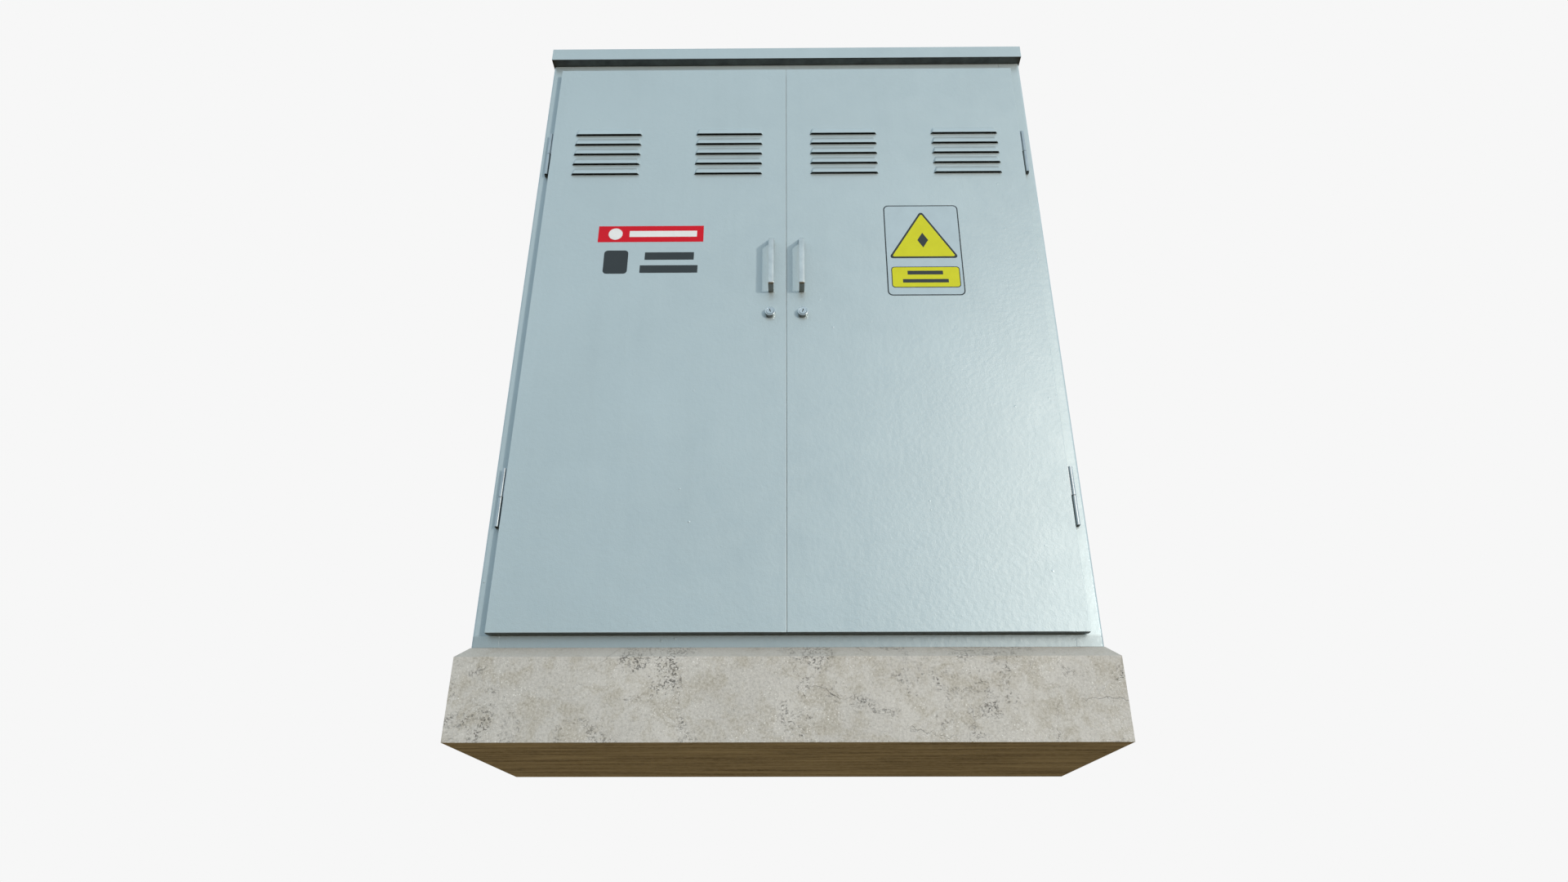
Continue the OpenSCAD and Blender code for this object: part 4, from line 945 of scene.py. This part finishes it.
class KIOSK_OT_handles(PieceOperator, bpy.types.Operator):
    """Builds the pull handles with their welds"""

    bl_idname = "kiosk.handles"
    bl_label = "Handles"

    def execute(self, context):
        thick, bend, slope = HANDLE_THICK, HANDLE_BEND, HANDLE_SLOPE
        face = DOOR_Y[1] - self.sizes.door_depth
        for side in SIDES:
            low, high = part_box(side + "_handle")
            x, wide = (low.x + high.x) / 2, high.x - low.x
            middle, turn = low.y + thick / 2, bend - thick / 2
            foot = low.z + thick / 2
            # The sloping leg meets the door at the node's highest point.
            rise = (face - low.y - bend - turn * math.cos(math.pi / 2 + slope)) * math.tan(slope)
            top = high.z - thick / 2 / math.cos(slope) - rise - turn * math.cos(slope)
            lower = arc((middle + turn, foot + turn), turn, 270, 180, 9)
            upper = arc((middle + turn, top), turn, 180, 90 + math.degrees(slope), 7)
            end = upper[-1] + np.array([1, math.tan(slope)]) * (face + 1.2 * MM - upper[-1][0])
            path = np.vstack([[(face, foot)], lower, upper, [end]])
            path = np.column_stack([np.full(len(path), x), path])
            bar = carried(rounded_outline(wide, thick, 0.55 * MM, 4), path, (1, 0, 0))
            piece(side + "_pull", bar, side + "_door", "handle", side + "_handle", caps=True)
            inner = face + self.sizes.sheet
            beads = [bead((x, inner, z), wide, WELD_RADIUS) for z in (foot, end[1])]
            piece(side + "_pull_welds", joined(*beads), side + "_door", "weld")
        return {"FINISHED"}


class KIOSK_OT_locks(PieceOperator, bpy.types.Operator):
    """Builds the locks, their rods and their guides"""

    bl_idname = "kiosk.locks"
    bl_label = "Locks"

    def execute(self, context):
        for side in SIDES:
            rounded_copy(side + "_lock_barrel", side + "_barrel", 0.8 * MM, "lock", 3)
            rounded_copy(side + "_lock_plug", side + "_key_plug", 0.12 * MM, "lock")
            rounded_copy(side + "_lock_case", side + "_case_plates", 0.4 * MM, "zinc")
            rounded_copy(side + "_upper_rod", side + "_upper_lock_rod", 0.3 * MM, "zinc")
            rounded_copy(side + "_lower_rod", side + "_lower_lock_rod", 0.3 * MM, "zinc")
            rounded_copy(side + "_rod_guides", side + "_guides", 0.3 * MM, "nylon")
        return {"FINISHED"}


FILM = 0.2 * MM


def patch(origin, left, right, bottom, top, radius=1.0, count=6):
    """A round-cornered outline, with its sides in mm from a sign's lower left corner."""
    centre = (origin.x + (left + right) / 2 * MM, origin.z + (bottom + top) / 2 * MM)
    return rounded_outline((right - left) * MM, (top - bottom) * MM, radius * MM, count) + centre


def triangle(origin, middle, inset, radius):
    """A round-cornered triangle, inset in mm from its outer edge."""
    half = 84.5 - inset * math.sqrt(3)
    foot = 107 + inset
    corners = np.array([(middle + half, foot), (middle, foot + half * 1.68), (middle - half, foot)]) * MM
    corners += (origin.x, origin.z)
    inwards = corners.mean(axis=0) - corners
    inwards /= np.linalg.norm(inwards, axis=1)[:, None]
    centres = corners + inwards * 2 * radius * MM
    return np.vstack([arc(c, radius * MM, a, a + 120) for c, a in zip(centres, (-90, 30, 150))])


class KIOSK_OT_signs(PieceOperator, bpy.types.Operator):
    """Builds the two plain signs, in thin printed layers"""

    bl_idname = "kiosk.signs"
    bl_label = "Signs"

    def layer(self, side, name, level, paint, outlines, stands_for=None):
        """A flat piece from (x, z) outlines, as many films before the door as its level."""
        back = DOOR_Y[1] - self.sizes.door_depth - level * FILM
        parts = []
        for outline in outlines:
            across, up = np.asarray(outline, float).T
            flat = np.stack([np.column_stack([across, np.full(len(up), y), up]) for y in (back, back - FILM)])
            parts.append(surface(flat, close_columns=True))
        piece(side + "_sign_" + name, joined(*parts), side + "_door", paint, stands_for,
              caps=True)

    def left(self):
        """A red band with a spot and a bar, over a dark block and two dark bars."""
        low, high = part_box("left_sign")
        wide, tall = (high.x - low.x) / MM, (high.z - low.z) / MM
        middle = tall - 24
        lines = [patch(low, 117, wide - 21, 40, 62), patch(low, 107, wide - 11, 2, 24)]
        self.layer("left", "band", 0, "red", [patch(low, 0, wide, tall - 48, tall)], "left_sign")
        self.layer("left", "bar", 1, "pale", [patch(low, 76, wide - 16, middle - 9, middle + 9)])
        self.layer("left", "spot", 1, "pale", [patch(low, 25, 59, middle - 17, middle + 17, 16.9, 10)])
        self.layer("left", "block", 0, "ink", [patch(low, 19, 77, 0, 68, 9)])
        self.layer("left", "lines", 0, "ink", lines)

    def right(self):
        """An outlined plate with a triangle that holds a diamond, and a panel that holds two bars."""
        low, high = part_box("right_sign")
        wide, tall = (high.x - low.x) / MM, (high.z - low.z) / MM
        middle, edge = wide / 2, 2.8
        ground = patch(low, edge, wide - edge, edge, tall - edge, 10)
        diamond = np.array([(0, 182), (13, 160), (0, 138), (-13, 160)]) + (middle, 0)
        lines = [patch(low, middle - 42, middle + 42, 59, 70), patch(low, middle - 54, middle + 54, 36, 46)]
        self.layer("right", "border", 0, "ink", [patch(low, 0, wide, 0, tall, 12)], "right_sign")
        self.layer("right", "ground", 0.5, "clear", [ground])
        self.layer("right", "triangle_edge", 1.5, "ink", [triangle(low, middle, 0, 6)])
        self.layer("right", "triangle", 2, "yellow", [triangle(low, middle, 4.8, 3.2)])
        self.layer("right", "mark", 2.5, "ink", [diamond * MM + (low.x, low.z)])
        self.layer("right", "panel_edge", 1.5, "ink", [patch(low, 11, wide - 9, 22, 82, 8)])
        self.layer("right", "panel", 2, "yellow", [patch(low, 13, wide - 11, 24, 80, 6.5)])
        self.layer("right", "lines", 2.5, "ink", lines)

    def execute(self, context):
        self.left()
        self.right()
        return {"FINISHED"}


class KIOSK_OT_transformer(PieceOperator, bpy.types.Operator):
    """Builds the core, the windings and what holds them"""

    bl_idname = "kiosk.transformer"
    bl_label = "Transformer"

    def execute(self, context):
        rounded_copy("core", "laminated_core", 1.2 * MM, "core")
        rounded_copy("core_clamps", "clamp_channels", 0.9 * MM, "clamp_enamel")
        rounded_copy("clamp_bolts", "clamp_bolt_set", 0.5 * MM, "zinc")
        rounded_copy("lv_windings", "low_voltage_coils", 0, "wrap")
        rounded_copy("hv_windings", "high_voltage_coils", 1.0 * MM, "resin")
        rounded_copy("coil_blocks", "pressed_blocks", 1.2 * MM, "board")
        rounded_copy("delta_links", "delta_rods", 0.4 * MM, "copper")
        rounded_copy("hv_links", "sleeved_links", 0.3 * MM, "sleeve")
        rounded_copy("lv_busbars", "copper_busbars", 0.6 * MM, "copper")
        rounded_copy("vibration_pads", "rubber_mounts", 2.0 * MM, "rubber")
        return {"FINISHED"}


class KIOSK_OT_switchgear(PieceOperator, bpy.types.Operator):
    """Builds the fuses, the breaker and the small fittings"""

    bl_idname = "kiosk.switchgear"
    bl_label = "Switchgear"

    def execute(self, context):
        rounded_copy("mounting_plate", "gear_plate", 0.5 * MM, "sheet")
        rounded_copy("floor_plates", "floor_sheets", 0.5 * MM, "sheet")
        rounded_copy("hv_insulators", "post_insulators", 1.0 * MM, "resin")
        rounded_copy("phase_barrier", "fibre_barrier", 0.6 * MM, "barrier")
        rounded_copy("cable_glands", "gland_set", 0.8 * MM, "nylon")
        rounded_copy("earth_bar", "earth_terminal_bar", 0.6 * MM, "copper")
        rounded_copy("document_pocket", "paper_pocket", 0.9 * MM, "pocket")
        breaker = rounded_copy("lv_breaker", "breaker_case", 1.2 * MM, ["case", "copper"])
        case_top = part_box("lv_breaker")[1].z - 26 * MM
        paint_faces(breaker, 1, lambda at: at[:, Z] > case_top + 0.1 * MM)
        rounded_copy("breaker_toggle", "toggle_lever", 0.9 * MM, "toggle", 3)
        fuses = rounded_copy("hv_fuses", "fuse_set", 0.8 * MM, ["glaze", "zinc"])
        low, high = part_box("hv_fuses")
        foot, head, clips = low.z + 58 * MM, high.z - 34 * MM, high.y - 16 * MM
        paint_faces(fuses, 1, lambda at: (at[:, Z] < foot) | (at[:, Z] > head) | (at[:, Y] > clips))
        return {"FINISHED"}


class KIOSK_OT_stage(PieceOperator, bpy.types.Operator):
    """Sets the floor, the lights and the camera"""

    bl_idname = "kiosk.stage"
    bl_label = "Studio"

    def floor(self):
        """A pale floor that is seen only from above, open where the plinth covers it."""
        half, inset, height = 14.0, 8 * MM, -2 * MM
        low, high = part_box("plinth")
        xs = [-half, low.x + inset, high.x - inset, half]
        ys = [-half, low.y + inset, high.y - inset, half]
        grid = np.stack([*np.meshgrid(xs, ys, indexing="ij"), np.full((4, 4), height)], axis=2)
        points, faces = surface(grid)
        middle_face = 4
        faces = np.delete(faces, middle_face, axis=0)[:, ::-1]
        mesh = bpy.data.meshes.new("floor")
        mesh.from_pydata(points.tolist(), [], faces.tolist())
        made = bpy.data.objects.new("floor", mesh)
        bpy.context.scene.collection.objects.link(made)
        paint = bpy.data.materials.new("Studio floor")
        paint.use_nodes = True
        s = Shader(paint.node_tree)
        shader = paint.node_tree.nodes["Principled BSDF"]
        s.put((0.90, 0.76, 0.66), shader.inputs["Base Color"])
        s.put(0.9, shader.inputs["Roughness"])
        front = s.sum("SUBTRACT", 1.0, s.add("ShaderNodeNewGeometry").outputs["Backfacing"])
        seen = s.sum("MULTIPLY", front, s.add("ShaderNodeLightPath").outputs["Is Camera Ray"])
        clear = s.add("ShaderNodeBsdfTransparent").outputs[0]
        both = s.add("ShaderNodeMixShader", {0: seen, 1: clear, 2: shader.outputs[0]}).outputs[0]
        s.put(both, paint.node_tree.nodes["Material Output"].inputs["Surface"])
        mesh.materials.append(paint)
        made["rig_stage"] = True

    def world(self, stage):
        """Light from above and less from below, and a pale backdrop for the camera."""
        world = bpy.data.worlds.new("Studio")
        bpy.context.scene.world = world
        world.use_nodes = True
        s = Shader(world.node_tree)
        world.node_tree.nodes.clear()
        up = s.part(s.add("ShaderNodeTexCoord").outputs["Generated"], Z)
        both = s.mix(s.ramp(up, -0.12, 0.12), tuple(stage.ground), tuple(stage.sky))
        light = s.add("ShaderNodeBackground", {"Color": both}).outputs[0]
        seen = s.add("ShaderNodeBackground", {"Color": tuple(stage.backdrop)}).outputs[0]
        camera = s.add("ShaderNodeLightPath").outputs["Is Camera Ray"]
        both = s.add("ShaderNodeMixShader", {0: camera, 1: light, 2: seen}).outputs[0]
        s.add("ShaderNodeOutputWorld", {"Surface": both})

    def lamp(self, name, kind, place, turn, **settings):
        """A light at a place, turned from straight down."""
        data = bpy.data.lights.new(name, kind)
        for key, value in settings.items():
            setattr(data, key, value)
        made = bpy.data.objects.new(name, data)
        made.location, made.rotation_euler = place, turn
        bpy.context.scene.collection.objects.link(made)
        return made

    def execute(self, context):
        stage = context.scene.kiosk_stage
        self.floor()
        self.world(stage)
        quarter = math.pi / 2
        key_turn = (quarter - math.radians(3), 0, stage.key_angle)
        box_turn = (quarter - math.radians(12), 0, math.radians(28.7))
        self.lamp("key", "SUN", (3, -3, 1), key_turn, energy=stage.key, angle=math.radians(3),
                  color=(1.0, 0.95, 0.88))
        self.lamp("soft_box", "AREA", (1.75, -3.1, 1.6), box_turn, energy=stage.soft,
                  shape="RECTANGLE", size=1.2, size_y=2.2, color=(1.0, 0.82, 0.70))
        camera = bpy.data.objects.new("camera", bpy.data.cameras.new("camera"))
        camera.location = stage.camera_place
        camera.rotation_euler = Euler((quarter + stage.camera_pitch, 0, stage.camera_yaw))
        camera.data.lens, camera.data.sensor_width = stage.lens, 36.0
        context.scene.collection.objects.link(camera)
        context.scene.camera = camera
        context.scene.view_settings.view_transform = "Standard"
        return {"FINISHED"}


class KIOSK_PT_panel(bpy.types.Panel):
    """Lists the kiosk's pieces and settings"""

    bl_idname = "KIOSK_PT_panel"
    bl_label = "Transformer kiosk"
    bl_space_type = "VIEW_3D"
    bl_region_type = "UI"
    bl_category = "Kiosk"

    def draw(self, context):
        for operator in OPERATORS:
            self.layout.operator(operator.bl_idname)
        for settings in (context.scene.kiosk_sizes, context.scene.kiosk_colours, context.scene.kiosk_stage):
            for key in type(settings).__annotations__:
                self.layout.prop(settings, key)


OPERATORS = (KIOSK_OT_materials, KIOSK_OT_plinth, KIOSK_OT_frame, KIOSK_OT_panels, KIOSK_OT_roof,
             KIOSK_OT_doors, KIOSK_OT_hinges, KIOSK_OT_handles, KIOSK_OT_locks, KIOSK_OT_signs,
             KIOSK_OT_transformer, KIOSK_OT_switchgear, KIOSK_OT_stage)
GROUPS_OF_SETTINGS = {"kiosk_sizes": KioskSizes, "kiosk_colours": KioskColours, "kiosk_stage": KioskStage}


def register():
    """Adds the settings, the operators and the panel."""
    for name, settings in GROUPS_OF_SETTINGS.items():
        bpy.utils.register_class(settings)
        setattr(bpy.types.Scene, name, bpy.props.PointerProperty(type=settings))
    for operator in (*OPERATORS, KIOSK_PT_panel):
        bpy.utils.register_class(operator)


def unregister():
    """Takes them away again."""
    for operator in (*OPERATORS, KIOSK_PT_panel):
        bpy.utils.unregister_class(operator)
    for name, settings in GROUPS_OF_SETTINGS.items():
        delattr(bpy.types.Scene, name)
        bpy.utils.unregister_class(settings)


def main():
    """Runs every operator in order."""
    register()
    for operator in OPERATORS:
        area, name = operator.bl_idname.split(".")
        getattr(getattr(bpy.ops, area), name)()
    boxes = {"cad": CAD_BOX, "visual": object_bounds()}
    boxes = {name: [list(corner) for corner in box] for name, box in boxes.items()}


if __name__ == "__main__":
    main()
